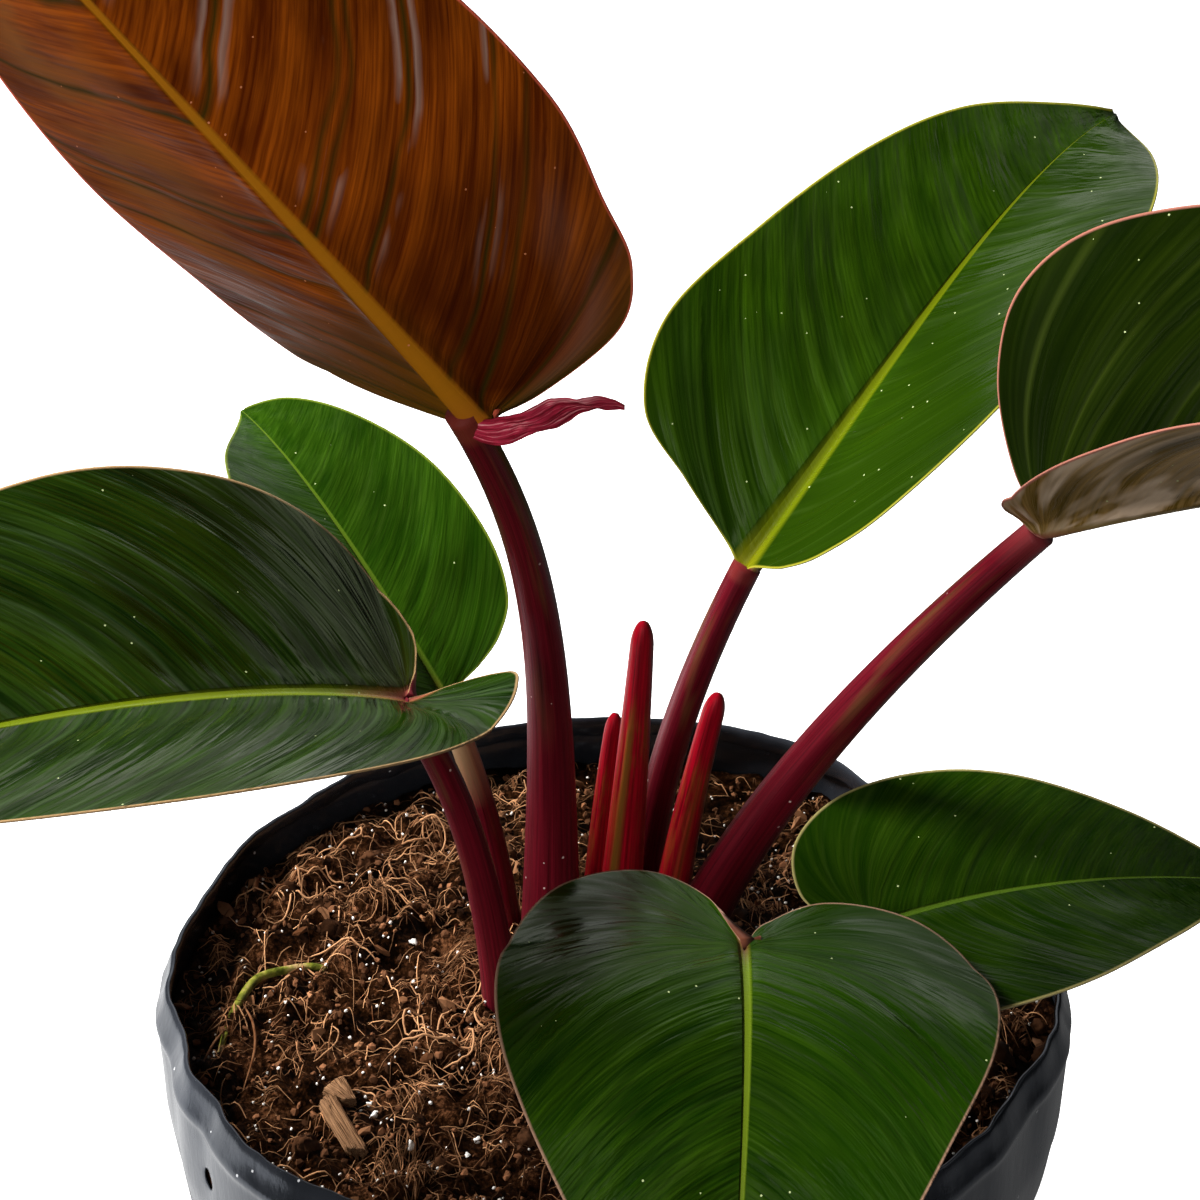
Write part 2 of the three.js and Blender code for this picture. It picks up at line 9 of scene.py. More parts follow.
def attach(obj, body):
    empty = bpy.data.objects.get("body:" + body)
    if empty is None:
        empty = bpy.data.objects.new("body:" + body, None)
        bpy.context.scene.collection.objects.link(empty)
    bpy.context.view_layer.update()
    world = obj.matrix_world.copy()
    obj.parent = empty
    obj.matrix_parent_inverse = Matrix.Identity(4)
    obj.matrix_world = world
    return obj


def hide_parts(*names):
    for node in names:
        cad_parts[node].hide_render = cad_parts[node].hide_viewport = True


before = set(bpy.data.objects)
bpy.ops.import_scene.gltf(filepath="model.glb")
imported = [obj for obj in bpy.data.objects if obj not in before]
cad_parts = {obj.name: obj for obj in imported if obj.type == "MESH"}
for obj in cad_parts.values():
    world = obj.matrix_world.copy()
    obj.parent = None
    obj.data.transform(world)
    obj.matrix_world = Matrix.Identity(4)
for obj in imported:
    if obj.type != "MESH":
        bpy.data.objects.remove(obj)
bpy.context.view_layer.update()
MM = 0.001


# The stage: a white table, a strong soft light high at the left and a weak wide one in front, pale cards that
# show only in the gloss, and the camera above the rim, looking down at the plant as the photograph does.
def step(tree, kind, inputs=None, **settings):
    """A shader node. Each input is a number or colour, or the output of a node before it."""
    made = tree.nodes.new("ShaderNode" + kind)
    for name, value in settings.items():
        setattr(made, name, value)
    for name, value in (inputs or {}).items():
        if isinstance(value, bpy.types.NodeSocket):
            tree.links.new(value, made.inputs[name])
        else:
            made.inputs[name].default_value = value
    return made


def new_finish(name, **values):
    """A new material and its shader, with the values that are the same all over."""
    finish = bpy.data.materials.new(name)
    finish.use_nodes = True
    shader = finish.node_tree.nodes["Principled BSDF"]
    for socket, value in values.items():
        shader.inputs[socket.replace("_", " ")].default_value = value
    return finish, finish.node_tree, shader


def soft_light(name, place, aim, size, radiance, lights=True, gleams=True):
    """A soft box of a width and height in metres. It may light the plant, gleam on its gloss, or both."""
    lamp = bpy.data.lights.new(name, "AREA")
    lamp.shape = "RECTANGLE"
    lamp.size, lamp.size_y = size
    lamp.energy = radiance * pi * size[0] * size[1]
    box = bpy.data.objects.new(name, lamp)
    box.location = place
    box.rotation_euler = (Vector(aim) - Vector(place)).to_track_quat("-Z", "Y").to_euler()
    box.visible_camera = False
    box.visible_diffuse = lights
    box.visible_glossy = gleams
    bpy.context.scene.collection.objects.link(box)
    return box


def white_room(name, fill, gleam):
    """White where it is seen, a weak fill on the plant, and nearly dark in its gloss."""
    room = bpy.data.worlds.new(name)
    room.use_nodes = True
    tree = room.node_tree
    seen = step(tree, "LightPath")
    weak = tree.nodes["Background"]
    weak.inputs["Color"].default_value = (1, 1, 1, 1)
    strength = step(tree, "Math", {0: seen.outputs["Is Glossy Ray"], 1: gleam - fill, 2: fill},
                    operation="MULTIPLY_ADD")
    tree.links.new(strength.outputs[0], weak.inputs["Strength"])
    white = step(tree, "Background", {"Color": (1, 1, 1, 1), "Strength": 1})
    both = step(tree, "MixShader",
                {0: seen.outputs["Is Camera Ray"], 1: weak.outputs[0], 2: white.outputs[0]})
    tree.links.new(both.outputs[0], tree.nodes["World Output"].inputs["Surface"])
    return room


stage_scene = bpy.context.scene
stage_scene.world = white_room("white_room", fill=0.09, gleam=0.012)
stage_scene.view_settings.view_transform = "Standard"
soft_light("window_light", (-1.05, 0.25, 1.25), (0, 0, 0.2), (0.5, 0.5), 87, gleams=False)
soft_light("front_light", (-0.70, -1.50, 0.75), (0, 0, 0.25), (1.2, 1.2), 4.4, gleams=False)
for card, place, aim, size, radiance in [
        ("back_card", (0.1, 1.6, 1.15), (0, 0, 0.25), (1.7, 1.3), 0.85),
        ("right_card", (0.95, 0.40, 1.15), (0, 0, 0.25), (0.6, 0.9), 0.6),
        ("left_card", (-1.30, -0.10, 0.45), (0, 0, 0.25), (0.8, 0.5), 0.05),
        ("front_card", (-0.35, -1.3, 1.15), (0, -0.05, 0.2), (0.5, 0.4), 1.0),
        ("left_table_card", (-0.70, 0.15, 0.004), (-0.70, 0.15, 1), (1.1, 0.9), 1.35),
        ("right_table_card", (0.70, 0.20, 0.004), (0.70, 0.20, 1), (1.1, 0.9), 0.16)]:
    soft_light(card, place, aim, size, radiance, lights=False)

table_finish, _, _ = new_finish(
    "white_table", Base_Color=(0.85, 0.85, 0.85, 1), Roughness=0.8, Emission_Color=(1, 1, 1, 1),
    Emission_Strength=0.85)
table_shape = bmesh.new()
bmesh.ops.create_grid(table_shape, x_segments=1, y_segments=1, size=20)
table_mesh = bpy.data.meshes.new("table")
table_shape.to_mesh(table_mesh)
table_shape.free()
table_mesh.materials.append(table_finish)
table = bpy.data.objects.new("table", table_mesh)
table.visible_diffuse = table.visible_glossy = False
stage_scene.collection.objects.link(table)

lens = bpy.data.cameras.new("camera")
lens.sensor_width, lens.lens = 36, 78
camera = bpy.data.objects.new("camera", lens)
camera.location = (-0.0029, -0.526, 0.5405)
camera.rotation_euler = (radians(61.1), 0, 0)
stage_scene.collection.objects.link(camera)
stage_scene.camera = camera


# The grow bag: one black polythene film, welded flat at the base and filled until it stands round. Its mouth
# is turned in as a hem, creased and pinched where it was handled, with two rows of drain holes punched below.
BAG_RIM = 150
BAG_PROFILE = [(0, 113), (6, 113), (17, 113), (30, 113), (45, 111), (60, 106), (80, 98), (105, 88), (130, 78),
               (150, 68)]
BAG_WAVES = [(1, 1.4, -90), (3, 1.2, 90), (5, 0.6, 20), (9, 0.5, 130)]
BAG_PINCHES = [(-162, 2.2, 5), (-148, 1.8, 4), (-28, 2.0, 5), (46, 4.5, 8), (142, 2.4, 7)]
BAG_PINCH_REACH = 45
BAG_HOLES = [(21, 7, 8), (36, 7, 33)]
BAG_HOLE_RADIUS = 2.5
BAG_SIDES = 240
FILM_THICKNESS = 0.5
FILM_INSET = 0.6
HEM_DEPTH, HEM_LEAN = 7.5, 2.6
CREASE_HEIGHT = 0.6
FOLD_FADE, CREASE_FADE = 20, 7
RIM_LIFT = 1.3


def smooth(edge_from, edge_to, value):
    share = min(1, max(0, (value - edge_from) / (edge_to - edge_from)))
    return share * share * (3 - 2 * share)


def laid_sheet(across, along, lay, grain=None):
    """A grid of cells laid at lay(u, v) in millimetres. grain(u, v) guides the patterns on the piece."""
    sheet = bmesh.new()
    marks = sheet.verts.layers.float_vector.new("grain")
    bmesh.ops.create_grid(sheet, x_segments=across, y_segments=along, size=0.5)
    for corner in sheet.verts:
        u, v = corner.co.x + 0.5, corner.co.y + 0.5
        corner[marks] = grain(u, v) if grain else (u, v, 0)
        corner.co = Vector(lay(u, v)) * MM
    return sheet


def weld(shape):
    """Joins the edges of a rolled sheet, closes its ends and turns the faces outwards."""
    bmesh.ops.remove_doubles(shape, verts=shape.verts, dist=1e-6)
    bmesh.ops.holes_fill(shape, edges=[edge for edge in shape.edges if edge.is_boundary], sides=0)
    bmesh.ops.recalc_face_normals(shape, faces=shape.faces)
    return shape


def add_piece(name, shape, finishes, slot, nodes=(), smooth_faces=True):
    """Puts a shape on the plant: it rides on the one body and stands for its CAD nodes."""
    if isinstance(shape, bpy.types.Mesh):
        mesh = shape
    else:
        mesh = bpy.data.meshes.new(name)
        shape.to_mesh(mesh)
        shape.free()
    mesh.polygons.foreach_set("use_smooth", [smooth_faces] * len(mesh.polygons))
    for finish in finishes:
        mesh.materials.append(finish)
    piece = bpy.data.objects.new(name, mesh)
    bpy.context.scene.collection.objects.link(piece)
    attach(piece, "root")
    if nodes:
        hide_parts(*nodes)
    return piece


def bag_radius(depth, angle):
    """Outer radius of the film at a depth below the rim, round the bag."""
    row = 1
    while row < len(BAG_PROFILE) - 1 and depth > BAG_PROFILE[row][0]:
        row += 1
    (above, radius_above), (below, radius_below) = BAG_PROFILE[row - 1], BAG_PROFILE[row]
    radius = radius_above + (radius_below - radius_above) * (depth - above) / (below - above)
    loose = 1 - smooth(0, BAG_RIM, depth)
    radius += sum(height * cos(count * angle + radians(phase)) * loose
                  for count, height, phase in BAG_WAVES)
    for direction, pinch, half_width in BAG_PINCHES:
        turn = cos(angle - radians(direction))
        away = acos(min(1, max(-1, turn))) / radians(half_width)
        radius -= pinch * exp(-away * away) * exp(-depth / BAG_PINCH_REACH)
    return radius


def ridges(place):
    """Sharp creases with soft hollows between them."""
    return 0.5 - 2 * abs(noise.noise(place))


def crinkle(depth, angle):
    """The small creases of handled film: dents down the wall, folds from the rim, fine ones at the hem."""
    round_bag = Vector((cos(angle), sin(angle), 0))
    dents = noise.noise(round_bag * 3.2 + Vector((0, 0, depth / 40)))
    folds = ridges(round_bag * 8 + Vector((3, 5, depth / 50))) * exp(-depth / FOLD_FADE)
    creases = ridges(round_bag * 24 + Vector((9, 2, depth / 12))) * exp(-depth / CREASE_FADE)
    hem_line = exp(-((depth - HEM_DEPTH) / 1.2) ** 2)
    return 0.5 * (dents + hem_line) + CREASE_HEIGHT * (folds + creases) - HEM_LEAN * smooth(8, 0, depth)


def bag_path():
    """The film from the middle of the base, up the wall, over the rim and down inside as the hem."""
    base = [(None, 0), (40, 0), (12, 0), (1.5, 0.2)]
    wall = [(0, z) for z in (2.5, 10, 20, 32, 44, 56, 67, 77, 85)]
    upper = [(0, 92 + 2.9 * i) for i in range(16)]
    hem = [(0, z) for z in (138.4, 139.9, 141, 142, 143, 144, 145.5, 147)]
    rim = [(0.1, 149.4), (0.9, 150.1), (1.7, 149.5), (2.1, 148), (2.3, 146), (2.4, 144.4)]
    return base + wall + upper + hem + rim


BAG_PATH = bag_path()
HEM_ROWS = 3


def film(u, v):
    row = round(v * (len(BAG_PATH) - 1))
    inset, z = BAG_PATH[row]
    angle = 2 * pi * u
    if inset is None:
        return 0, 0, 0
    depth = BAG_RIM - z
    past_rim = row - (len(BAG_PATH) - 1 - HEM_ROWS)
    if past_rim >= 0:
        hem_edge = noise.noise(Vector((cos(angle), sin(angle), 4)) * 9)
        z -= past_rim * (0.9 * hem_edge + 0.2)
    kinks = 0.4 - abs(noise.noise(Vector((cos(angle), sin(angle), 1)) * 9))
    lift = RIM_LIFT * kinks * smooth(14, 0, depth)
    radius = bag_radius(depth, angle) - inset + crinkle(depth, angle) * smooth(150, 120, depth) - FILM_INSET
    return radius * cos(angle), radius * sin(angle), z + lift


def punch(sheet):
    """Opens each drain hole: the nearest corner goes, and the ones round it move to the hole's edge."""
    for depth, count, first in BAG_HOLES:
        for i in range(count):
            angle = radians(first + 360 * i / count)
            radius = bag_radius(depth, angle)
            middle = Vector((radius * cos(angle), radius * sin(angle), BAG_RIM - depth)) * MM
            outer = [corner for corner in sheet.verts if corner.co.xy.length > (radius - 3) * MM]
            centre = min(outer, key=lambda corner: (corner.co - middle).length)
            middle = centre.co.copy()
            side = Vector((-sin(angle), cos(angle), 0))
            ring = {corner for face in centre.link_faces for corner in face.verts} - {centre}
            for corner in ring:
                away = corner.co - middle
                flat = Vector((away.dot(side), away.z)).normalized() * BAG_HOLE_RADIUS * MM
                corner.co += side * (flat.x - away.dot(side)) + Vector((0, 0, flat.y - away.z))
            bmesh.ops.delete(sheet, geom=[centre], context="VERTS")


def ramp(tree, value, stops):
    """A colour or grey that changes with value, through the given (value, colour) stops."""
    band = step(tree, "ValToRGB", {"Fac": value})
    while len(band.color_ramp.elements) < len(stops):
        band.color_ramp.elements.new(0.5)
    for element, (position, colour) in zip(band.color_ramp.elements, stops):
        element.position = position
        element.color = (*colour, 1) if isinstance(colour, tuple) else (colour, colour, colour, 1)
    return band.outputs["Color"]


def blend(tree, share, below, above, how="MIX"):
    return step(tree, "MixRGB", {0: share, 1: below, 2: above}, blend_type=how).outputs[0]


def maths(tree, operation, first, second=0.0, third=0.0):
    return step(tree, "Math", {0: first, 1: second, 2: third}, operation=operation).outputs[0]


def times(tree, first, second):
    return maths(tree, "MULTIPLY", first, second)


def cloud(tree, lay, scale, detail=3, roughness=0.6, stretch=(1, 1, 1)):
    """Soft noise over a piece, or streaks where the lay is stretched unevenly."""
    if stretch != (1, 1, 1):
        lay = step(tree, "Mapping", {"Vector": lay, "Scale": stretch}).outputs[0]
    return step(tree, "TexNoise", {"Vector": lay, "Scale": scale, "Detail": detail, "Roughness": roughness},
                noise_dimensions="3D" if stretch[2] else "2D").outputs["Fac"]


def place_on(tree):
    return step(tree, "TexCoord").outputs["Object"]


def grain_on(tree):
    return step(tree, "Attribute", attribute_name="grain").outputs["Vector"]


def grain_parts(tree):
    return step(tree, "SeparateXYZ", {0: grain_on(tree)}).outputs


def mark_on(tree, name):
    return step(tree, "Attribute", attribute_name=name).outputs["Fac"]


def between(tree, value, low, high, value_from=0.0, value_to=1.0):
    return step(tree, "MapRange", {"Value": value, "From Min": value_from, "From Max": value_to,
                                   "To Min": low, "To Max": high}).outputs[0]


def relief(tree, height, strength, depth, over=None):
    values = {"Height": height, "Strength": strength, "Distance": depth}
    if over:
        values["Normal"] = over
    return step(tree, "Bump", values).outputs[0]


def wire(tree, shader, colour, normal, rough=None):
    tree.links.new(colour, shader.inputs["Base Color"])
    tree.links.new(normal, shader.inputs["Normal"])
    if rough:
        tree.links.new(rough, shader.inputs["Roughness"])


def specks(tree, lay, scale, radius, rarity):
    """1 inside small round specks, each cell of the given scale holding one in (1 - rarity) of cases."""
    cells = step(tree, "TexVoronoi", {"Vector": lay, "Scale": scale})
    chosen = step(tree, "SeparateColor", {"Color": cells.outputs["Color"]}).outputs[0]
    return times(tree, maths(tree, "LESS_THAN", cells.outputs["Distance"], radius),
                 maths(tree, "GREATER_THAN", chosen, rarity))


def film_finish():
    finish, tree, shader = new_finish("black_film", Specular_IOR_Level=0.85, Specular_Tint=(0.78, 0.86, 1, 1))
    where = place_on(tree)
    cloudy = cloud(tree, where, 30, 4)
    dusty = ramp(tree, cloudy, [(0.3, (0.008, 0.009, 0.011)), (0.8, (0.030, 0.033, 0.040))])
    dusty = blend(tree, specks(tree, where, 260, 0.10, 0.93), dusty, (0.5, 0.5, 0.5, 1))
    creases = cloud(tree, where, 70, 6, 0.65, (1, 1, 0.35))
    wire(tree, shader, dusty, relief(tree, creases, 0.4, 0.0010), between(tree, cloudy, 0.14, 0.34))
    return finish


bag_sheet = laid_sheet(BAG_SIDES, len(BAG_PATH) - 1, film)
bmesh.ops.remove_doubles(bag_sheet, verts=bag_sheet.verts, dist=1e-6)
bmesh.ops.recalc_face_normals(bag_sheet, faces=bag_sheet.faces)
punch(bag_sheet)
bag = add_piece("grow_bag_film", bag_sheet, [film_finish()], "film", ["grow_bag"])
film_wall = bag.modifiers.new("film_thickness", "SOLIDIFY")
film_wall.thickness = FILM_THICKNESS * MM
film_wall.offset = -1
film_round = bag.modifiers.new("soft_creases", "SUBSURF")
film_round.levels = film_round.render_levels = 1


# The potting mix: damp coir with shade painted in dark between its lumps, filled to 16 mm below the rim,
# mounded round the plant and heaped at the left back. It is one body here, with its loose parts laid on it
# below.
MIX_EDGE = BAG_RIM - 16
MIX_MOUNDS = [(-3, 10, 6, 40), (-45, 45, 5, 30)]
MIX_CLUMPS = [(0.9, 27, 31, 0.4), (0.6, -15, 19, 2.1)]
MIX_SIDES = 280
MIX_RINGS = 100
MIX_WALL_GAP, MIX_TOP_GAP = 1.5, 1.4
MIX_WALL = [(0.0, 1.6), (1, 1.6), (1, 20), (1, 45), (1, 70), (1, 90), (1, 105), (1, 120), (1, MIX_EDGE - 3)]


def mix_lumps(x, y):
    """0 in the creases between clumps of mix, more on their tops. The finish paints shade in the creases by
    it.
    """
    return abs(noise.noise(Vector((x / 15, y / 15, 3)))) + 0.5 * abs(noise.noise(Vector((x / 7, y / 7, 5))))


def mix_top(x, y):
    """Height of the mix, with its mounds, its clumps and its crumbs."""
    z = MIX_EDGE
    for centre_x, centre_y, height, spread in MIX_MOUNDS:
        distance = hypot(x - centre_x, y - centre_y) / spread
        z += height * exp(-0.5 * distance * distance)
    for height, length_x, length_y, phase in MIX_CLUMPS:
        z += height * sin(2 * pi * x / length_x + phase) * cos(2 * pi * y / length_y)
    crumbs = noise.noise(Vector((x / 3.2, y / 3.2, 7)))
    grit = noise.noise(Vector((x / 1.3, y / 1.3, 1)))
    at_wall = smooth(9, 2, 113 - hypot(x, y))
    return z + (8 * mix_lumps(x, y) - 2.8) * (1 - at_wall) - at_wall + 1.1 * crumbs + 0.5 * grit


def mix_body(u, v):
    row = round(v * (len(MIX_WALL) + MIX_RINGS - 1))
    angle = 2 * pi * u
    if row < len(MIX_WALL):
        share, z = MIX_WALL[row]
        radius = (bag_radius(BAG_RIM - z, angle) - MIX_WALL_GAP) * share
        return radius * cos(angle), radius * sin(angle), z
    share = 1 - (row - len(MIX_WALL)) / (MIX_RINGS - 1)
    radius = (bag_radius(BAG_RIM - MIX_EDGE, angle) - MIX_TOP_GAP) * share
    x, y = radius * cos(angle), radius * sin(angle)
    return x, y, mix_top(x, y)


def mix_grain(u, v):
    x, y, _ = mix_body(u, v)
    return u, v, mix_lumps(x, y)


def mix_finish():
    finish, tree, shader = new_finish("damp_coir", Roughness=0.95, Specular_IOR_Level=0.2)
    where = place_on(tree)
    patches, grains = cloud(tree, where, 60, 6, 0.65), cloud(tree, where, 800, 5, 0.75)
    both = times(tree, patches, grains)
    brown = ramp(tree, both, [(0.19, (0.0015, 0.0006, 0.0002)), (0.28, (0.026, 0.009, 0.003)),
                              (0.40, (0.19, 0.075, 0.031))])
    # Painted shade: the brown is darkened to about an eighth of itself in the creases between the clumps.
    lumps = grain_parts(tree)[2]
    brown = blend(tree, 1.0, brown, ramp(tree, lumps, [(0.04, 0.12), (0.26, 1.0)]), "MULTIPLY")
    wire(tree, shader, brown, relief(tree, grains, 1.0, 0.0016))
    return finish


add_piece("potting_mix_body", weld(laid_sheet(MIX_SIDES, len(MIX_WALL) + MIX_RINGS - 1, mix_body, mix_grain)),
          [mix_finish()], "soil", ["potting_mix"])


# What lies loose on the mix: coir fibres, curling fine roots, crumbs, husk flakes and white perlite. Each is
# small and there are hundreds, so each has few faces. Without a seed, noise_vector starts from the clock.
SEED = 4
noise.seed_set(SEED)


def strands(name, paths, sides=0):
    """A round strand along each path of (points, radius) in millimetres, thinner at its ends."""
    curve = bpy.data.curves.new(name, "CURVE")
    curve.dimensions = "3D"
    curve.bevel_depth = MM
    curve.bevel_resolution = sides
    curve.use_fill_caps = True
    for points, radius in paths:
        strand = curve.splines.new("POLY")
        strand.points.add(len(points) - 1)
        for i, (knot, point) in enumerate(zip(strand.points, points)):
            knot.co = (*(point * MM), 1)
            knot.radius = radius * (1 - 0.6 * abs(2 * i / (len(points) - 1) - 1) ** 3)
    strung = bpy.data.objects.new(name, curve)
    bpy.context.scene.collection.objects.link(strung)
    mesh = bpy.data.meshes.new_from_object(strung)
    bpy.data.objects.remove(strung)
    return mesh


def on_the_mix(draw):
    """A random place on the mix, a little inside the wall."""
    radius, angle = 110 * sqrt(draw.random()), 2 * pi * draw.random()
    return radius * cos(angle), radius * sin(angle)


def fibre_path(draw, start, heading, length, curl, rise, points):
    """A strand that wanders over the mix from its start, rising in the middle and ending in the mix."""
    x, y = start
    bend, lift = draw.gauss(0, curl), rise * draw.random()
    path = []
    for i in range(points):
        share = i / (points - 1)
        inside = min(1, 109.5 / max(1, hypot(x, y)))
        px, py = x * inside, y * inside
        height = mix_top(px, py) - 0.4 + lift * sin(pi * share) + 0.4 * draw.random()
        path.append(Vector((px, py, height)))
        bend += draw.gauss(0, curl)
        heading += bend / points
        x += cos(heading) * length / points
        y += sin(heading) * length / points
    return path


def coir_finish(name, dark, light, scale, skew=0.5):
    """Each strand or crumb has its own tone between dark and light; with a skew over 0.5 most are dark."""
    finish, tree, shader = new_finish(name, Roughness=0.85, Specular_IOR_Level=0.25)
    each = step(tree, "NewGeometry").outputs["Random Per Island"]
    mottle = cloud(tree, place_on(tree), scale)
    shade = maths(tree, "ADD", each, between(tree, mottle, -0.3, 0.3))
    halfway = tuple(0.5 * (a + b) for a, b in zip(dark, light))
    tone = ramp(tree, shade, [(0.0, dark), (skew, halfway), (1.0, light)])
    wire(tree, shader, tone, relief(tree, mottle, 0.6, 0.0004))
    return finish


def lay_loose(name, shape, slot, dark, light, scale, skew=0.5, **faces):
    add_piece(name, shape, [coir_finish(name[:-1], dark, light, scale, skew)], slot, **faces)


def tuft(draw, start, count, length, spread):
    """Fibres torn from the husk together: side by side and nearly parallel."""
    heading = 2 * pi * draw.random()
    fibres = []
    for _ in range(count):
        place = (start[0] + draw.gauss(0, spread), start[1] + draw.gauss(0, spread))
        turned, cut = heading + draw.gauss(0, 0.35), length * draw.uniform(0.5, 1.1)
        fibres.append((fibre_path(draw, place, turned, cut, 0.6, 2.4, 7), draw.uniform(0.07, 0.17)))
    return fibres


def strewn(draw, count, start, length, curl, rise, points, radii):
    """Strands that set out from start() in any direction, each with its length() and radius."""
    return [(fibre_path(draw, start(), 2 * pi * draw.random(), length(), curl, rise, points),
             draw.uniform(*radii)) for _ in range(count)]


TUFTS = [((-49, -66), 90, 14, 4), ((-42, 8), 50, 12, 4), ((-30, -24), 60, 13, 5), ((-62, 40), 50, 12, 5)]
ROOT_NESTS = [((-34, -13), 26, 20), ((-80, 50), 24, 18), ((-50, 60), 18, 16)]
SCATTERED_TUFTS = 190

draw_coir = random.Random(SEED)
torn = []
for start, count, length, spread in TUFTS:
    torn += tuft(draw_coir, start, count, length, spread)
for _ in range(SCATTERED_TUFTS):
    torn += tuft(draw_coir, on_the_mix(draw_coir), 14, draw_coir.uniform(5, 13), draw_coir.uniform(1, 3))
lay_loose("coir_tufts", strands("coir_tufts", torn), "soil", (0.016, 0.0045, 0.0015), (0.52, 0.25, 0.115),
          300, 0.7)
fibres = strewn(draw_coir, 1700, lambda: on_the_mix(draw_coir), lambda: draw_coir.uniform(5, 18),
                0.4, 2.4, 8, (0.06, 0.19))
lay_loose("coir_fibres", strands("coir_fibres", fibres), "soil", (0.022, 0.0062, 0.002), (0.68, 0.35, 0.165),
          300, 0.7)

draw_roots = random.Random(SEED + 1)
curls = strewn(draw_roots, 80, lambda: on_the_mix(draw_roots), lambda: draw_roots.uniform(12, 30),
               1.2, 3.6, 16, (0.12, 0.26))
for (x, y), count, length in ROOT_NESTS:
    curls += strewn(draw_roots, count, lambda: (x + draw_roots.gauss(0, 6), y + draw_roots.gauss(0, 6)),
                    lambda: length, 1.5, 4.5, 16, (0.16, 0.32))
lay_loose("fine_roots", strands("fine_roots", curls, 1), "soil", (0.07, 0.023, 0.008), (0.52, 0.27, 0.13),
          200)


def scattered(draw, count, sizes, flatness, sink, roundness=1, rough=0.45, places=()):
    """Small lumps on the mix, each turned and squashed at random; the first lie at the given places."""
    heap = bmesh.new()
    for i in range(count):
        x, y = places[i] if i < len(places) else on_the_mix(draw)
        size = draw.uniform(*sizes)
        turn = Euler([draw.uniform(0, 6.3) for _ in range(3)]).to_matrix().to_4x4()
        squash = Matrix.Diagonal((size, size * draw.uniform(0.5, 1), size * draw.uniform(*flatness), 1))
        place = Matrix.Translation((x, y, mix_top(x, y) + size * sink))
        bmesh.ops.create_icosphere(heap, subdivisions=roundness, radius=1, matrix=place @ turn @ squash)
    for corner in heap.verts:
        corner.co = (corner.co + noise.noise_vector(corner.co * 0.9) * rough) * MM
    return heap


lay_loose("coir_lumps", scattered(random.Random(SEED + 6), 60, (2, 4.5), (0.4, 0.8), -0.2, 3, 1.3), "soil",
          (0.008, 0.003, 0.0013), (0.07, 0.029, 0.013), 700, 0.6)
lay_loose("coir_crumbs", scattered(random.Random(SEED + 2), 3000, (0.35, 1.4), (0.4, 0.9), 0.25), "soil",
          (0.004, 0.0016, 0.0008), (0.25, 0.105, 0.048), 400, 0.75, smooth_faces=False)
lay_loose("husk_flakes", scattered(random.Random(SEED + 3), 170, (1.2, 3.6), (0.12, 0.3), 0.3), "husk",
          (0.07, 0.026, 0.01), (0.36, 0.17, 0.08), 350, 0.6, smooth_faces=False)


def patterned_finish(name, lay, pattern, stops, bump, rough=None, **values):
    """Colour, relief and roughness that all follow one noise pattern, laid by place_on or grain_on."""
    finish, tree, shader = new_finish(name, **values)
    seen = cloud(tree, lay(tree), *pattern)
    wire(tree, shader, ramp(tree, seen, stops), relief(tree, seen, *bump),
         rough and between(tree, seen, *rough))
    return finish


PERLITE_PLACES = [(-57.7, -40.2), (-56.5, -43.5), (-47.0, -58.1), (-42.9, -60.2), (-33.8, -57.8),
                  (-31.7, -53.2), (-50.4, 14.4)]
perlite = patterned_finish("white_perlite", place_on, (900,),
                           [(0.25, (0.55, 0.46, 0.38)), (0.5, (0.88, 0.84, 0.78))], (0.7, 0.0005),
                           Roughness=0.8)
add_piece("perlite_grains", scattered(random.Random(SEED + 4), 760, (0.28, 0.62), (0.75, 1), 1.2, 1, 0.15),
          [perlite], "soil")
add_piece("perlite_lumps", scattered(random.Random(SEED + 5), 15, (0.8, 1.3), (0.6, 0.9), 0.8, 2, 0.9,
                                     PERLITE_PLACES), [perlite], "soil")


# Two chips of coconut husk bedded in the mix: split along the fibre, with slanted torn ends.
CHIPS = [("long", (-63.5, -51, 137.0), -62, (17.5, 4.8, 3.4), 0.1),
         ("broad", (-64.5, -40, 137.6), -50, (7, 5, 3), 0.75)]
CHIP_TILT = 6


def chip(centre, turn, size, taper):
    """A block split along its length, its ends slanted and its faces furrowed."""
    block = bmesh.new()
    marks = block.verts.layers.float_vector.new("grain")
    bmesh.ops.create_cube(block, size=1)
    bmesh.ops.subdivide_edges(block, edges=block.edges, cuts=11, use_grid_fill=True)
    stand = (Matrix.Translation(centre) @ Matrix.Rotation(radians(turn), 4, "Z")
             @ Matrix.Rotation(radians(CHIP_TILT), 4, "Y"))
    for corner in block.verts:
        along, beside, up = corner.co
        corner[marks] = (along, beside, up)
        slant = (0.10 if along > 0 else -0.05) * beside * 2 * abs(2 * along) ** 3
        furrow = 0.16 * noise.noise(Vector((along * 1.8, beside * 5 + centre[0], up * 3)))
        torn = 0.14 * noise.noise(Vector((beside * 9, up * 9, centre[1]))) * abs(2 * along) ** 4
        corner.co = stand @ Vector(((along + slant + torn) * size[0],
                                    beside * size[1] * (0.9 - taper * along),
                                    (up * (1 - 0.25 * (2 * beside) ** 2) + furrow) * size[2]))
        corner.co *= MM
    return block


husk = patterned_finish("husk_chip", grain_on, (1, 5, 0.65, (1.5, 34, 9)),
                        [(0.40, (0.055, 0.017, 0.005)), (0.57, (0.56, 0.30, 0.15))], (1.0, 0.0016),
                        Roughness=0.85, Specular_IOR_Level=0.3)
for name, centre, turn, size, taper in CHIPS:
    add_piece("husk_chip_" + name + "_split", chip(centre, turn, size, taper), [husk], "husk",
              ["husk_chip_" + name])


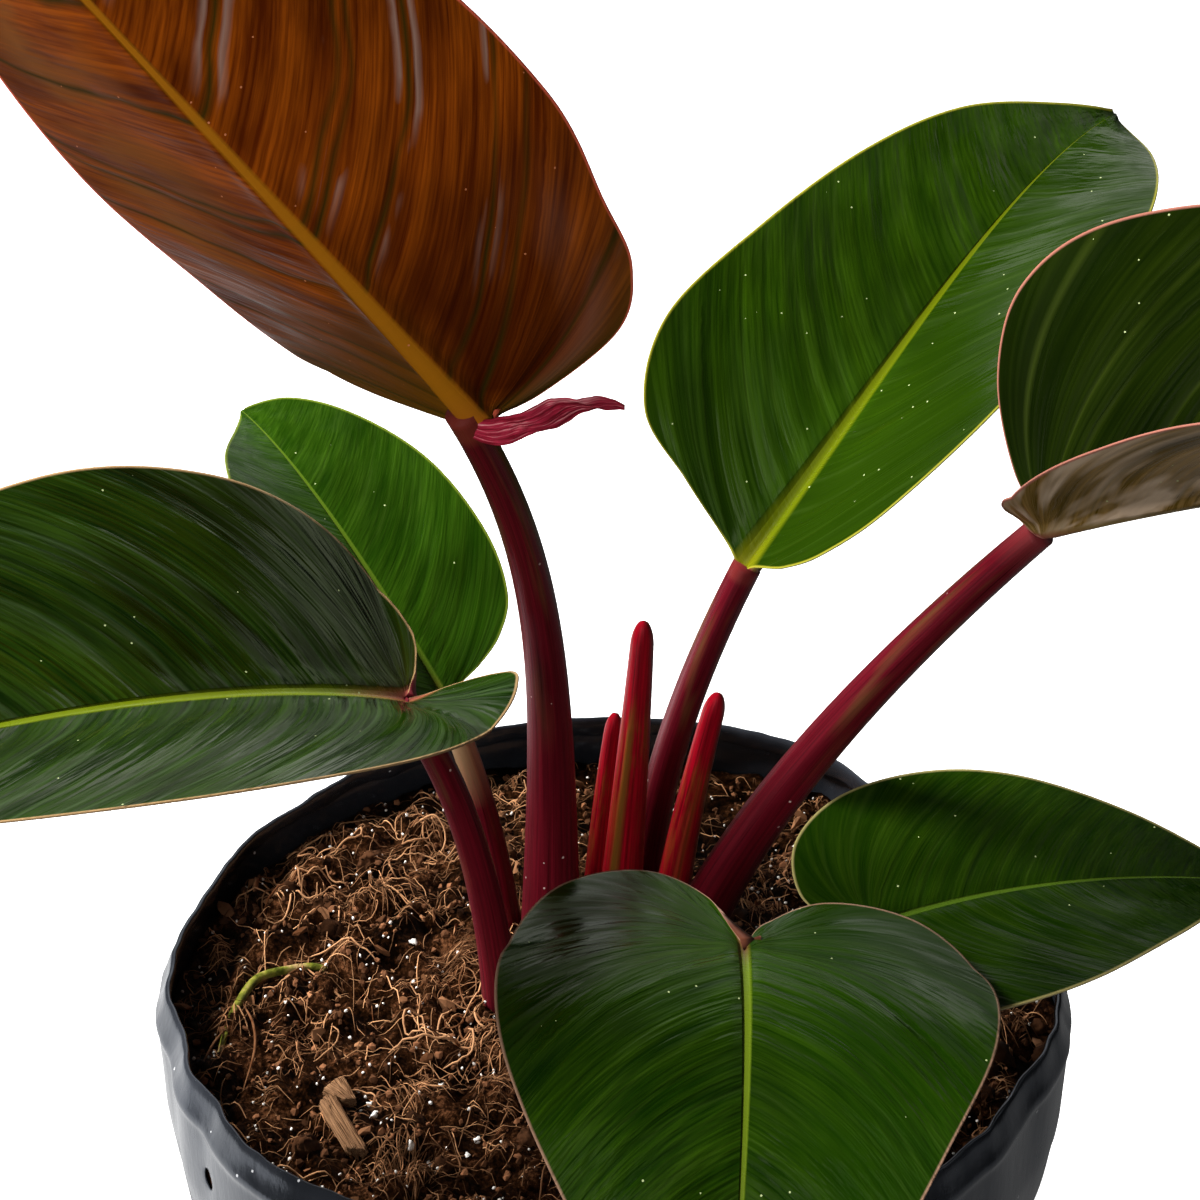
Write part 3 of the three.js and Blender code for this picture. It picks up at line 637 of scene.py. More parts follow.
# The green root that arches over the mix at the left: living, so olive green, and forked into brown rootlets.
ROOT_PATH = [(-97, -23, -2), (-95.5, -12, 0.6), (-93.5, -2, 1.4), (-90, 7, 1.6), (-83, 11, 1.3),
             (-75, 13, 0.6), (-68, 10, -2)]
ROOTLETS = [
    [(-95, -10, 0.7), (-98, -20, 1.8), (-100, -29, 0.9), (-101, -36, -1)],
    [(-93, -2, 0.9), (-89, -12, 2.2), (-87.5, -22, 1.6), (-89, -34, -1)],
    [(-76, 13, 0.9), (-66, 16, 2.2), (-57, 11, 1.6), (-49, 4, 1), (-42, -2, -1)],
    [(-78, 12, 0.9), (-72, 4, 1.8), (-66, -1, -1)],
]
ROOT_RADIUS, ROOTLET_RADIUS = 1.15, 0.35


def knotted(a, b, c, d, share):
    """A smooth step from b to c, on the line through four knots."""
    return 0.5 * (2 * b + (c - a) * share + (2 * a - 5 * b + 4 * c - d) * share ** 2
                  + (3 * b - a - 3 * c + d) * share ** 3)


def over_the_mix(path, points):
    """A smooth line through the given places, each a height above the level mix."""
    knots = [Vector((x, y, MIX_EDGE + 0.6 + height)) for x, y, height in path]
    knots = [2 * knots[0] - knots[1], *knots, 2 * knots[-1] - knots[-2]]
    line = []
    for i in range(points):
        place = i / (points - 1) * (len(knots) - 3)
        first = min(int(place), len(knots) - 4)
        line.append(knotted(*knots[first:first + 4], place - first))
    return line


green_root = patterned_finish(
    "green_root", place_on, (230, 4),
    [(0.36, (0.36, 0.24, 0.10)), (0.5, (0.17, 0.17, 0.02)), (0.66, (0.045, 0.055, 0.004))], (0.9, 0.0012),
    Roughness=0.6)
add_piece("green_root", strands("green_root", [(over_the_mix(ROOT_PATH, 60), ROOT_RADIUS)], 3),
          [green_root], "root", ["surface_root"])
add_piece("rootlets", strands("rootlets", [(over_the_mix(path, 28), ROOTLET_RADIUS) for path in ROOTLETS], 2),
          [bpy.data.materials["fine_root"]], "root")


# The short stem that the leaves grow from: brown, ringed with old leaf scars, mostly below the mix.
STEM_PATH = [(-3, 12, 96), (-3, 12, 110), (-2, 13, 130), (-2, 14, 147)]
STEM_RADIUS = (13, 15, 9)


def cubic(points, share):
    """A place on the cubic curve of four points, and the direction of the curve there."""
    a, b, c, d = (Vector(point) for point in points)
    rest = 1 - share
    place = a * rest ** 3 + b * 3 * rest * rest * share + c * 3 * rest * share * share + d * share ** 3
    ahead = (b - a) * rest * rest + (c - b) * 2 * rest * share + (d - c) * share * share
    return place, ahead.normalized()


def radius_along(radii, share):
    base, middle, end = radii
    return middle + (end - middle) * share + (base - middle) * (1 - share) ** 3


def stalk_sheet(path, radii, face, section, sides, rows, reach=1):
    """A sheet rolled round a cubic curve. section(angle, share) scales its radius; angle 0 is at the face."""
    facing = Vector(face)

    def lay(u, v):
        share = reach * v
        angle = 2 * pi * (u - 0.5)
        place, ahead = cubic(path, share)
        side = ahead.cross(facing).normalized()
        up = side.cross(ahead)
        radius = radius_along(radii, share) * section(angle, share)
        return place + side * radius * sin(angle) + up * radius * cos(angle)

    def grain(u, v):
        angle = 2 * pi * (u - 0.5)
        return sin(angle), cos(angle), reach * v

    return weld(laid_sheet(sides, rows, lay, grain))


def scarred(angle, share):
    return 1 + 0.07 * cos(5 * angle) + 0.03 * sin(60 * share)


bark = patterned_finish("stem_bark", place_on, (120, 5, 0.6, (0.5, 0.5, 4)),
                        [(0.2, (0.02, 0.008, 0.005)), (0.8, (0.11, 0.04, 0.024))], (0.8, 0.001),
                        Roughness=0.8)
add_piece("stem_bark", stalk_sheet(STEM_PATH, STEM_RADIUS, (0, -1, 0), scarred, 60, 40), [bark], "crown",
          ["stem"])


# The seven leaves. Each grew as one piece: a round red stalk, grooved along its inner side, ends under a
# leathery blade. The blade is one sheet with a raised midrib below and side veins that bow towards the tip.
HEART = [(0, 0), (-0.08, 0.1), (-0.14, 0.37), (-0.1, 0.77), (0.05, 1), (0.28, 0.98), (0.5, 0.77),
         (0.74, 0.45), (0.92, 0.15), (1, 0)]
BLUNT_HEART = [(0, 0), (-0.08, 0.1), (-0.14, 0.36), (-0.1, 0.7), (0.05, 0.92), (0.28, 0.96), (0.5, 0.84),
               (0.74, 0.52), (0.92, 0.18), (1, 0)]
DEEP_HEART = [(0, 0), (-0.14, 0.14), (-0.22, 0.42), (-0.17, 0.78), (0.02, 0.98), (0.27, 0.99), (0.48, 0.84),
              (0.72, 0.5), (0.9, 0.2), (1, 0)]
EGG = [(0, 0), (-0.02, 0.1), (-0.03, 0.3), (0.01, 0.55), (0.12, 0.77), (0.3, 0.94), (0.52, 1), (0.75, 0.82),
       (0.92, 0.4), (1, 0)]
LOBED_EGG = [(0, 0), (-0.04, 0.05), (-0.072, 0.15), (-0.068, 0.3), (0.01, 0.56), (0.22, 0.86), (0.5, 0.96),
             (0.75, 0.8), (0.92, 0.4), (1, 0)]
ROUND = [(0, 0), (-0.03, 0.22), (-0.03, 0.56), (0.02, 0.85), (0.13, 1), (0.32, 0.98), (0.56, 0.82),
         (0.78, 0.54), (0.93, 0.22), (1, 0)]
OBLONG = [(0, 0), (-0.03, 0.24), (-0.04, 0.62), (0.02, 0.8), (0.13, 0.86), (0.3, 0.94), (0.55, 0.87),
          (0.78, 0.58), (0.93, 0.25), (1, 0)]
BROAD_BASE = [(0, 0), (-0.03, 0.22), (-0.03, 0.68), (0.02, 0.91), (0.13, 0.89), (0.32, 0.82), (0.56, 0.77),
              (0.78, 0.58), (0.93, 0.27), (1, 0)]
BEAKED_BASE = [(0, 0), (-0.015, 0.05), (-0.028, 0.13), (-0.01, 0.24), (0.05, 0.38), (0.15, 0.55),
               (0.33, 0.82), (0.55, 0.93), (0.78, 0.66), (0.93, 0.28), (1, 0)]
SHOULDER = [(0, 0), (0.02, 0.12), (0.04, 0.35), (0.08, 0.6), (0.16, 0.82), (0.32, 0.94), (0.55, 0.9),
            (0.78, 0.65), (0.94, 0.34), (1, 0)]
TAPERED = [(0, 0), (0.02, 0.14), (0.06, 0.48), (0.11, 0.84), (0.24, 1.02), (0.43, 0.92), (0.62, 0.76),
           (0.78, 0.54), (0.91, 0.22), (1, 0)]

LEAVES = {
    "front_left": dict(
        stalk=[(-15.5, 8, 120), (-15.5, 14, 200), (-10, 8, 248), (-31, -13, 300)], radii=(9, 5.8, 3.8),
        midrib=[(-29, -12, 302), (-54, -32, 343), (-83, -46, 385), (-138, -36, 446)], face=(0.3, 0.68, -0.32),
        half_width=59, outlines=(OBLONG, BROAD_BASE), fold=((31, 22), (38, 27)), wave=(1.2, 1.5, 0.2)),
    "back_right": dict(
        stalk=[(8, 34, 120), (6, 35, 165), (18, 35, 205), (32, 38.8, 235.4)], radii=(6, 4.6, 3.8),
        midrib=[(32, 38, 237), (66, 57, 280), (100, 98, 319), (132, 131, 323)], face=(-0.3, -0.65, 0.59),
        half_width=51, outlines=(TAPERED, SHOULDER), fold=((22, 12), (48, 8)), wave=(1.5, 1.5, 0.6)),
    "right": dict(
        stalk=[(13, 8, 120), (20, 9, 172), (63, 0, 233), (94.6, -14.6, 275.6)], radii=(8.4, 6.8, 3.8),
        midrib=[(95, -15, 278), (143, -37, 302), (195, -58, 322), (252, -84, 294)], face=(-0.3, -0.1, 1),
        reach=1.0, half_width=64, outlines=(ROUND, BEAKED_BASE), fold=((50, 25), (58, 30)), flare=(0, 0.6),
        wave=(1, 1, 0.1)),
    "left": dict(
        stalk=[(-26.5, -5, 120), (-27, -5, 165), (-36, -5, 208), (-49, -8.5, 225.8)], radii=(6, 4, 3.6),
        midrib=[(-48, -9, 229), (-78, -31, 247), (-125, -52, 255), (-200, -85, 245)], face=(0, -0.3, 1),
        half_width=59, outlines=(LOBED_EGG, EGG), fold=((27, 24), (24, 15)), flare=(1.1, 0.5),
        wave=(1.5, 2, 0.3)),
    "back_left": dict(
        stalk=[(-27, 23, 120), (-26, 24, 155), (-34, 27, 185), (-41.3, 32, 202.6)], radii=(5.2, 3.6, 3),
        midrib=[(-41, 31, 204), (-57, 44, 229), (-80, 76, 249), (-98, 102, 251)], face=(0.2, -0.6, 0.67),
        half_width=33, outlines=(TAPERED, SHOULDER), fold=((36, 25), (15, 5)), wave=(0.8, 1.5, 0)),
    "front": dict(
        stalk=[(1, -4, 120), (1, -6, 150), (17, -36, 166), (28.8, -58.5, 191)], radii=(6.6, 4.8, 4),
        midrib=[(29, -60, 195), (29, -92, 200), (26, -130, 182), (22, -145, 105)], face=(0, -0.1, 1),
        reach=0.99, half_width=54, outlines=(HEART, DEEP_HEART), fold=((0, 20), (10, 15)), curl=(-14, -20),
        flare=(0.1, 0.1), wave=(1, 2, 0.4)),
    "front_right": dict(
        stalk=[(17, -8, 120), (17, -9, 145), (37, -21, 168), (58.8, -34.6, 179.4)], radii=(5.2, 3.8, 3.2),
        midrib=[(60.5, -35.5, 184), (87, -29, 190), (118, -23, 191), (153, -16, 182)], face=(0, -0.3, 1),
        half_width=38.5, outlines=(BLUNT_HEART, BLUNT_HEART), fold=((5, 5), (12, 10)), wave=(0.8, 1.5, 0.5)),
}

FOLD_ROUNDING = 5
VEIN_LEAN = 0.55
VEIN_BOW = 1.6
STALK_GROOVE = 0.14
STALK_GROOVE_WIDTH = 0.4
STALK_REACH = 1.03
STALK_SIDES, STALK_ROWS = 40, 90
BLADE_THICKNESS = 0.8
RIB_HEIGHT = 3.2
RIB_HALF_WIDTH = 4
BLADE_SWAY = 1.1


def on_outline(outline, share):
    """A place on a smooth line through the points of a half outline."""
    place = min(1, max(0, share)) * (len(outline) - 1)
    first = min(int(place), len(outline) - 1)
    rest = place - first
    knots = [outline[min(max(i, 0), len(outline) - 1)] for i in range(first - 1, first + 3)]
    return [knotted(*values, rest) for values in zip(*knots)]


def vein_row(forward, beside):
    """Numbers the veins: they slant ahead from the midrib, bow to the tip, and fan out behind the stalk."""
    straight = forward - VEIN_BOW * beside ** 2
    if straight >= VEIN_LEAN * beside:
        return straight - VEIN_LEAN * beside
    return 0.2 * (atan(1 / VEIN_LEAN) - atan2(beside, straight))


def blade_surface(leaf):
    """The middle of the blade: along runs from stalk to tip, across from -1 to 1 over both halves."""
    midrib, half_width, face = leaf["midrib"], leaf["half_width"], Vector(leaf["face"])
    curl, flare = leaf.get("curl", (0, 0)), leaf.get("flare", (0, 0))
    marks = [cubic(midrib, i / 200)[0] for i in range(201)]
    length = sum((b - a).length for a, b in zip(marks, marks[1:]))
    height, count, phase = leaf["wave"]

    def surface(along, across):
        half, side, out = (1, -1, -across) if across < 0 else (0, 1, across)
        margin_x, margin_y = on_outline(leaf["outlines"][half], along)
        start = 1.02 * along ** 1.35
        bend = 0.5 * (start + margin_x) - 0.18 * margin_y * half_width / length
        x = (1 - out) ** 2 * start + 2 * out * (1 - out) * bend + out * out * margin_x
        y = (2 * out * (1 - out) * 0.55 + out * out) * margin_y
        share = min(1, max(0, x))
        place, ahead = cubic(midrib, share)
        sideways = face.cross(ahead).normalized()
        up = ahead.cross(sideways)
        base_fold, tip_fold = leaf["fold"][half]
        angle = radians(base_fold + (tip_fold - base_fold) * share + 0.5 * curl[half] * y)
        reach = y * half_width
        ripple = sin(2 * pi * (count * along + phase + 0.2 * side))
        rounded = reach - FOLD_ROUNDING * (1 - exp(-reach / FOLD_ROUNDING)) * exp(-reach / 25)
        lifted = height * out * out * ripple + flare[half] * max(0, -x) * length * out
        return (place + ahead * (x - share) * length + sideways * side * reach * cos(angle)
                + up * (rounded * sin(angle) + lifted), reach, vein_row(x, reach / length))

    return surface


BLADE_ROWS = 190
HALF_COLUMNS = [0, 0.02, 0.045, 0.07, 0.1, 0.14, 0.18, 0.23, 0.29, 0.35, 0.41, 0.47, 0.53, 0.59, 0.65, 0.71,
                0.77, 0.83, 0.885, 0.93, 0.96, 0.98, 0.991, 1]
BLADE_COLUMNS = [-place for place in reversed(HALF_COLUMNS[1:])] + HALF_COLUMNS


def blade_relief(along, from_rib):
    """The upper side sinks to a shallow channel over the midrib and swells a little beside it."""
    channel = -0.5 * exp(-(from_rib / 1.6) ** 2)
    swell = 0.45 * exp(-((from_rib - 4) / 2.4) ** 2)
    return (channel + swell) * (1 - along)


def blade_sheet(leaf, seed):
    surface = blade_surface(leaf)
    columns = len(BLADE_COLUMNS) - 1

    def read(u, v):
        return 0.02 + 0.965 * v, BLADE_COLUMNS[round(u * columns)]

    sheet = laid_sheet(columns, BLADE_ROWS, lambda u, v: surface(*read(u, v))[0],
                       lambda u, v: (*read(u, v), 0))
    bmesh.ops.recalc_face_normals(sheet, faces=sheet.faces)
    marks = sheet.verts.layers.float_vector["grain"]
    margin = sheet.verts.layers.float.new("to_margin")
    rib_row = sheet.verts.layers.float.new("along")
    thickness = sheet.verts.layers.deform.new()
    sheet.normal_update()
    facing = sum((face.normal for face in sheet.faces), Vector())
    if facing.dot(Vector(leaf["face"])) < 0:
        bmesh.ops.reverse_faces(sheet, faces=sheet.faces)
        sheet.normal_update()
    for corner in sheet.verts:
        along, across, _ = corner[marks]
        place, from_rib, row = surface(along, across)
        to_margin = (place - surface(along, copysign(1, across))[0]).length
        corner[marks] = (row, across, from_rib)
        corner[rib_row] = along
        corner[margin] = to_margin
        rib = exp(-(from_rib / RIB_HALF_WIDTH) ** 2) * (1 - along) ** 0.8
        deep = BLADE_THICKNESS * (0.55 + 0.45 * smooth(0, 4, to_margin)) + RIB_HEIGHT * rib
        corner[thickness][0] = deep / (BLADE_THICKNESS + RIB_HEIGHT)
        sway = BLADE_SWAY * noise.noise(Vector((row * 7 + seed, across * 1.3, 0)))
        sway *= smooth(2, 20, from_rib) * smooth(0, 14, to_margin)
        corner.co += corner.normal * MM * (BLADE_THICKNESS / 2 + blade_relief(along, from_rib) + sway)
    return sheet


VEIN_PAIRS = 15


def leaf_finish(name, deep, fresh, rib, blush, edge, rib_width=(2.6, 1.0), gloss=0.15,
                vein=(0.05, 0.09, 0.012), vein_share=0.3, quilt=0.4, zones=(), speckle=(0.40, 0.46, 0.22),
                offset=0.0, shine=0.5, steady=0.15, pairs=VEIN_PAIRS, vein_width=0.10, brush=0.4,
                blush_to=0.16, tint=(0.88, 1, 0.60)):
    """Leathery blade. Its veins bow from the midrib to the margin: bold ones that sink or stand up a little,
    with fine streaks between. The midrib is pale with a blush at the stalk, and the margin has a thin edge
    line. zones are (colour, {what: stops}): a colour that comes in where all its ramps are white."""
    finish, tree, shader = new_finish(name, Specular_IOR_Level=shine, Specular_Tint=(*tint, 1))
    grain, where = grain_on(tree), place_on(tree)
    vein_row, across, from_rib = grain_parts(tree)
    margin = mark_on(tree, "to_margin")
    along = mark_on(tree, "along")
    fine = cloud(tree, grain, 1, 4, 0.6, (150, 2, 0))
    broad = cloud(tree, grain, 1, 3, 0.6, (22, 1.6, 0))
    patches = cloud(tree, grain, 1, 3, 0.6, (9, 1.7, 0))
    wander = maths(tree, "MULTIPLY_ADD", cloud(tree, grain, 1, 2, 0.5, (3, 1.4, 0)), 0.6, offset)
    row = maths(tree, "MULTIPLY_ADD", vein_row, pairs, wander)
    near = step(tree, "TexVoronoi", {"W": row, "Scale": 1, "Randomness": 1}, voronoi_dimensions="1D"
                ).outputs["Distance"]
    inner = ramp(tree, maths(tree, "ABSOLUTE", across), [(0.35, 1.0), (0.95, 0.15)])
    on_vein = times(tree, ramp(tree, near, [(0.0, vein_share), (vein_width, 0.0)]),
                    ramp(tree, patches, [(0.38, steady), (0.62, 1.0)]))
    streaks = times(tree, fine, broad)
    body = blend(tree, ramp(tree, streaks, [(0.12, 0.0), (0.42, 1.0)]), (*deep, 1), (*fresh, 1))
    shade = ramp(tree, cloud(tree, where, 26, 2), [(0.3, 0.62), (0.7, 1.2)])
    body = blend(tree, 1.0, body, shade, "MULTIPLY")
    sources = {"along": along, "across": maths(tree, "MULTIPLY_ADD", across, 0.5, 0.5),
               "margin": times(tree, margin, 0.02), "patches": patches, "vein": near}
    for colour, ramps in zones:
        share = 1.0
        for what, stops in ramps.items():
            share = times(tree, ramp(tree, sources[what], stops), share)
        body = blend(tree, share, body, (*colour, 1))
    body = blend(tree, on_vein, body, (*vein, 1))
    width, taper = rib_width
    tapered = maths(tree, "POWER", maths(tree, "SUBTRACT", 1.04, along), taper)
    rib_share = maths(tree, "DIVIDE", from_rib, times(tree, tapered, width))
    on_rib = ramp(tree, rib_share, [(0.5, 0.9), (1.0, 0.0)])
    rib_tone = blend(tree, ramp(tree, along, [(0.03, 1.0), (blush_to, 0.0)]), (*rib, 1), (*blush, 1))
    body = blend(tree, on_rib, body, rib_tone)
    body = blend(tree, specks(tree, where, 330, 0.08, 0.86), body, (*speckle, 1))
    body = blend(tree, ramp(tree, margin, [(0.3, 1.0), (0.8, 0.0)]), body, (*edge, 1))
    brushed = maths(tree, "ADD", times(tree, patches, 0.65), times(tree, fine, 0.35))
    rough = between(tree, brushed, gloss - 0.03, gloss + 0.34, 0.40, 0.60)
    off_rib = ramp(tree, rib_share, [(0.5, 0.0), (1.0, 1.0)])
    pillow = times(tree, ramp(tree, near, [(0.0, 0.0), (0.14, 0.4), (0.45, 1.0)]), inner)
    normal = relief(tree, fine, 0.15, 0.0004)
    normal = relief(tree, times(tree, broad, off_rib), brush, 0.0012, normal)
    normal = relief(tree, times(tree, pillow, off_rib), quilt, 0.0008, normal)
    wire(tree, shader, body, normal, rough)
    return finish


def edge_finish(name, rim, base):
    """The thin line round the blade; where the blade ends on its stalk it has the stalk's colour."""
    finish, tree, shader = new_finish(name, Roughness=0.5)
    from_rib = grain_parts(tree)[2]
    line = blend(tree, between(tree, from_rib, 0, 1, 2.5, 6), (*base, 1), (*rim, 1))
    tree.links.new(line, shader.inputs["Base Color"])
    return finish


def stalk_finish(name, top, top_from=0.93):
    """Smooth red skin with fine lengthwise streaks, pale flecks and a faint dusty sheen."""
    finish, tree, shader = new_finish(name, Specular_IOR_Level=0.25, Sheen_Weight=0.03, Sheen_Roughness=0.4,
                                      Sheen_Tint=(0.75, 0.55, 0.65, 1))
    grain, where = grain_on(tree), place_on(tree)
    share = grain_parts(tree)[2]
    streaks = cloud(tree, grain, 1, 6, 0.7, (9, 9, 3))
    skin = ramp(tree, streaks, [(0.3, STALK_DARK), (0.7, STALK_RED)])
    patches = cloud(tree, grain, 1, 2, 0.5, (1.2, 1.2, 4))
    aged = times(tree, ramp(tree, patches, [(0.55, 0.0), (0.72, 0.6)]),
                 ramp(tree, share, [(0.35, 0.0), (0.65, 1.0)]))
    skin = blend(tree, aged, skin, (0.10, 0.045, 0.015, 1))
    skin = blend(tree, ramp(tree, share, [(top_from, 0.0), (1.0, 0.9)]), skin, (*top, 1))
    skin = blend(tree, specks(tree, where, 420, 0.13, 0.95), skin, (0.50, 0.36, 0.32, 1))
    wire(tree, shader, skin, relief(tree, streaks, 0.35, 0.0004), between(tree, streaks, 0.22, 0.38))
    return finish


PINK_EDGE, TAN_EDGE = (0.32, 0.12, 0.085), (0.36, 0.22, 0.10)
LEAF_LOOKS = {
    "front_left": dict(
        deep=(0.020, 0.010, 0.003), fresh=(0.060, 0.026, 0.006), rib=(0.25, 0.12, 0.02),
        blush=(0.2, 0.05, 0.03), edge=(0.42, 0.08, 0.04), under="copper", rim=(0.72, 0.15, 0.085),
        top=(0.15, 0.022, 0.014), top_from=0.985),
    "back_right": dict(
        deep=(0.0082, 0.026, 0.0005), fresh=(0.022, 0.055, 0.0011), rib=(0.095, 0.118, 0.002),
        blush=(0.15, 0.145, 0.003), edge=(0.26, 0.24, 0.02), rib_width=(6.0, 2.0), vein_share=0.15,
        # Painted shade: the zone darkens one half of the blade.
        quilt=0.35, zones=[((0.009, 0.024, 0.0006), dict(across=[(0.44, 0.7), (0.5, 0.0)]))],
        rim=(0.30, 0.30, 0.06), top=(0.12, 0.014, 0.013), top_from=0.985),
    "right": dict(
        deep=(0.0028, 0.0068, 0.00032), fresh=(0.008, 0.0152, 0.00064), rib=(0.07, 0.10, 0.006),
        blush=(0.30, 0.12, 0.05), edge=PINK_EDGE, rib_width=(2.2, 1), vein=(0.030, 0.045, 0.004),
        vein_share=0.5, rim=PINK_EDGE, top=(0.15, 0.020, 0.022)),
    "left": dict(
        deep=(0.0020, 0.0085, 0.0003), fresh=(0.0150, 0.0380, 0.0020), rib=(0.13, 0.17, 0.004),
        blush=(0.34, 0.07, 0.06), edge=TAN_EDGE, rib_width=(3.0, 0.7), vein=(0.06, 0.10, 0.04),
        vein_share=0.26, quilt=0.55, gloss=0.16, shine=0.9, steady=0.05, brush=0.9, blush_to=0.26,
        zones=[((0.17, 0.03, 0.03), dict(along=[(0.0, 0.9), (0.08, 0.0)])),
               ((0.020, 0.018, 0.003), dict(along=[(0.05, 0.8), (0.28, 0.0)],
                                            across=[(0.44, 1.0), (0.5, 0.0)]))],
        rim=TAN_EDGE, top=(0.20, 0.02, 0.03)),
    "back_left": dict(
        deep=(0.0075, 0.028, 0.0008), fresh=(0.022, 0.058, 0.0025), rib=(0.07, 0.12, 0.008),
        blush=(0.18, 0.17, 0.02), edge=(0.12, 0.16, 0.015), rib_width=(1.3, 0.7), vein_share=0.12,
        quilt=0.15, shine=0.2, rim=(0.16, 0.18, 0.03), top=(0.55, 0.36, 0.17), top_from=0.6),
    "front": dict(
        deep=(0.0042, 0.0185, 0.0004), fresh=(0.0195, 0.050, 0.0014), rib=(0.10, 0.145, 0.008),
        blush=(0.10, 0.045, 0.016), edge=(0.30, 0.17, 0.11), rib_width=(1.6, 0.8), vein_share=0.12,
        quilt=0.25, shine=0.36, brush=0.8,
        # Painted shade: the first zone darkens one half of the blade.
        zones=[((0.007, 0.027, 0.0005), dict(across=[(0.52, 0.0), (0.75, 0.6)])),
               ((0.05, 0.018, 0.006), dict(along=[(0.0, 0.7), (0.05, 0.0)]))],
        rim=(0.42, 0.25, 0.18), top=(0.10, 0.03, 0.015)),
    "front_right": dict(
        deep=(0.0048, 0.0185, 0.0004), fresh=(0.0150, 0.0360, 0.0012), rib=(0.06, 0.11, 0.008),
        blush=(0.08, 0.12, 0.012), edge=(0.26, 0.22, 0.08), rib_width=(1.2, 0.9), vein_share=0.12,
        quilt=0.18, shine=0.08, rim=(0.34, 0.28, 0.12), top=(0.12, 0.03, 0.02)),
}
UNDERSIDES = {
    "green": leaf_finish(
        "green_underside", (0.080, 0.044, 0.004), (0.29, 0.17, 0.055), (0.22, 0.14, 0.04),
        (0.22, 0.05, 0.04), PINK_EDGE, (2.6, 1), 0.26, (0.05, 0.045, 0.008), 0.4, 0.35,
        # Painted sheen: pale silvery patches of gloss laid into the colour.
        [((0.46, 0.34, 0.24), dict(patches=[(0.46, 0.0), (0.60, 0.85)]))], shine=0.25),
    "copper": leaf_finish(
        "copper_underside", (0.105, 0.015, 0.0010), (0.37, 0.076, 0.0035), (0.40, 0.145, 0.006),
        (0.42, 0.13, 0.010), (0.80, 0.14, 0.075), (1.8, 0.6), 0.34, (0.030, 0.026, 0.003), 0.9, 0.7,
        [((0.14, 0.070, 0.0035), dict(along=[(0.02, 0.95), (0.5, 0.0)], across=[(0.44, 1.0), (0.56, 0.2)])),
         ((0.040, 0.0035, 0.0005), dict(along=[(0.05, 0.0), (0.15, 0.9), (0.35, 0.75), (0.55, 0.0)],
                                        across=[(0.5, 0.1), (0.6, 1.0), (0.8, 0.8), (0.9, 0.1)])),
         # Painted sheen: a grey-mauve gloss laid as colour along the crease near one margin.
         ((0.20, 0.085, 0.055), dict(along=[(0.05, 0.0), (0.15, 0.8), (0.4, 0.6), (0.55, 0.0)],
                                     across=[(0.80, 0.0), (0.89, 0.8), (0.95, 0.2)],
                                     patches=[(0.35, 0.2), (0.6, 1.0)])),
         ((0.27, 0.095, 0.022), dict(across=[(0.05, 0.1), (0.16, 0.75), (0.3, 0.5), (0.42, 0.0)],
                                     along=[(0.3, 0.0), (0.6, 1.0)], patches=[(0.4, 0.1), (0.62, 1.0)])),
         # Painted sheen: pale silver-mauve streaks of gloss laid as colour beside the veins, towards the tip
         # of one half.
         ((0.36, 0.22, 0.17), dict(vein=[(0.09, 0.0), (0.14, 1.0), (0.26, 0.0)],
                                   along=[(0.35, 0.0), (0.6, 1.0)], across=[(0.52, 0.0), (0.6, 0.8)],
                                   patches=[(0.5, 0.0), (0.6, 1.0)])),
         ((0.055, 0.055, 0.006), dict(margin=[(0.02, 0.8), (0.22, 0.0)], along=[(0.1, 1.0), (0.45, 0.0)],
                                      across=[(0.5, 0.3), (0.6, 1.0)]))],
        (0.60, 0.20, 0.08), shine=0.03, steady=0.6, pairs=9, vein_width=0.085, tint=(1, 0.78, 0.65)),
}
STALK_DARK, STALK_RED = (0.024, 0.0008, 0.0024), (0.145, 0.0050, 0.0125)


def grooved(angle, share):
    return 1 - STALK_GROOVE * exp(-(angle / STALK_GROOVE_WIDTH) ** 2)


for seed, (leaf_name, leaf) in enumerate(LEAVES.items()):
    start, end = Vector(leaf["stalk"][0]), Vector(leaf["stalk"][3])
    outward = Vector((end.x - start.x, end.y - start.y, 0)).normalized()
    stalk = stalk_sheet(leaf["stalk"], leaf["radii"], (-outward.x, -outward.y, 1), grooved, STALK_SIDES,
                        STALK_ROWS, leaf.get("reach", STALK_REACH))
    look = dict(LEAF_LOOKS[leaf_name])
    under, stalk_top, rim = look.pop("under", "green"), look.pop("top"), look.pop("rim")
    skin = stalk_finish("stalk_" + leaf_name, stalk_top, top_from=look.pop("top_from", 0.93))
    add_piece("stalk_" + leaf_name, stalk, [skin], "stalk", ["petiole_" + leaf_name])
    edge_line = edge_finish("edge_" + leaf_name, rim, stalk_top)
    blade = add_piece(
        "leaf_" + leaf_name, blade_sheet(leaf, seed),
        [leaf_finish("leaf_" + leaf_name, offset=7.0 * seed, **look), UNDERSIDES[under], edge_line],
        under + "_leaf", ["blade_" + leaf_name])
    blade.vertex_groups.new(name="thickness")
    leathery = blade.modifiers.new("blade_thickness", "SOLIDIFY")
    leathery.thickness = (BLADE_THICKNESS + RIB_HEIGHT) * MM
    leathery.offset = -1
    leathery.vertex_group = "thickness"
    leathery.material_offset = 1
    leathery.material_offset_rim = 2


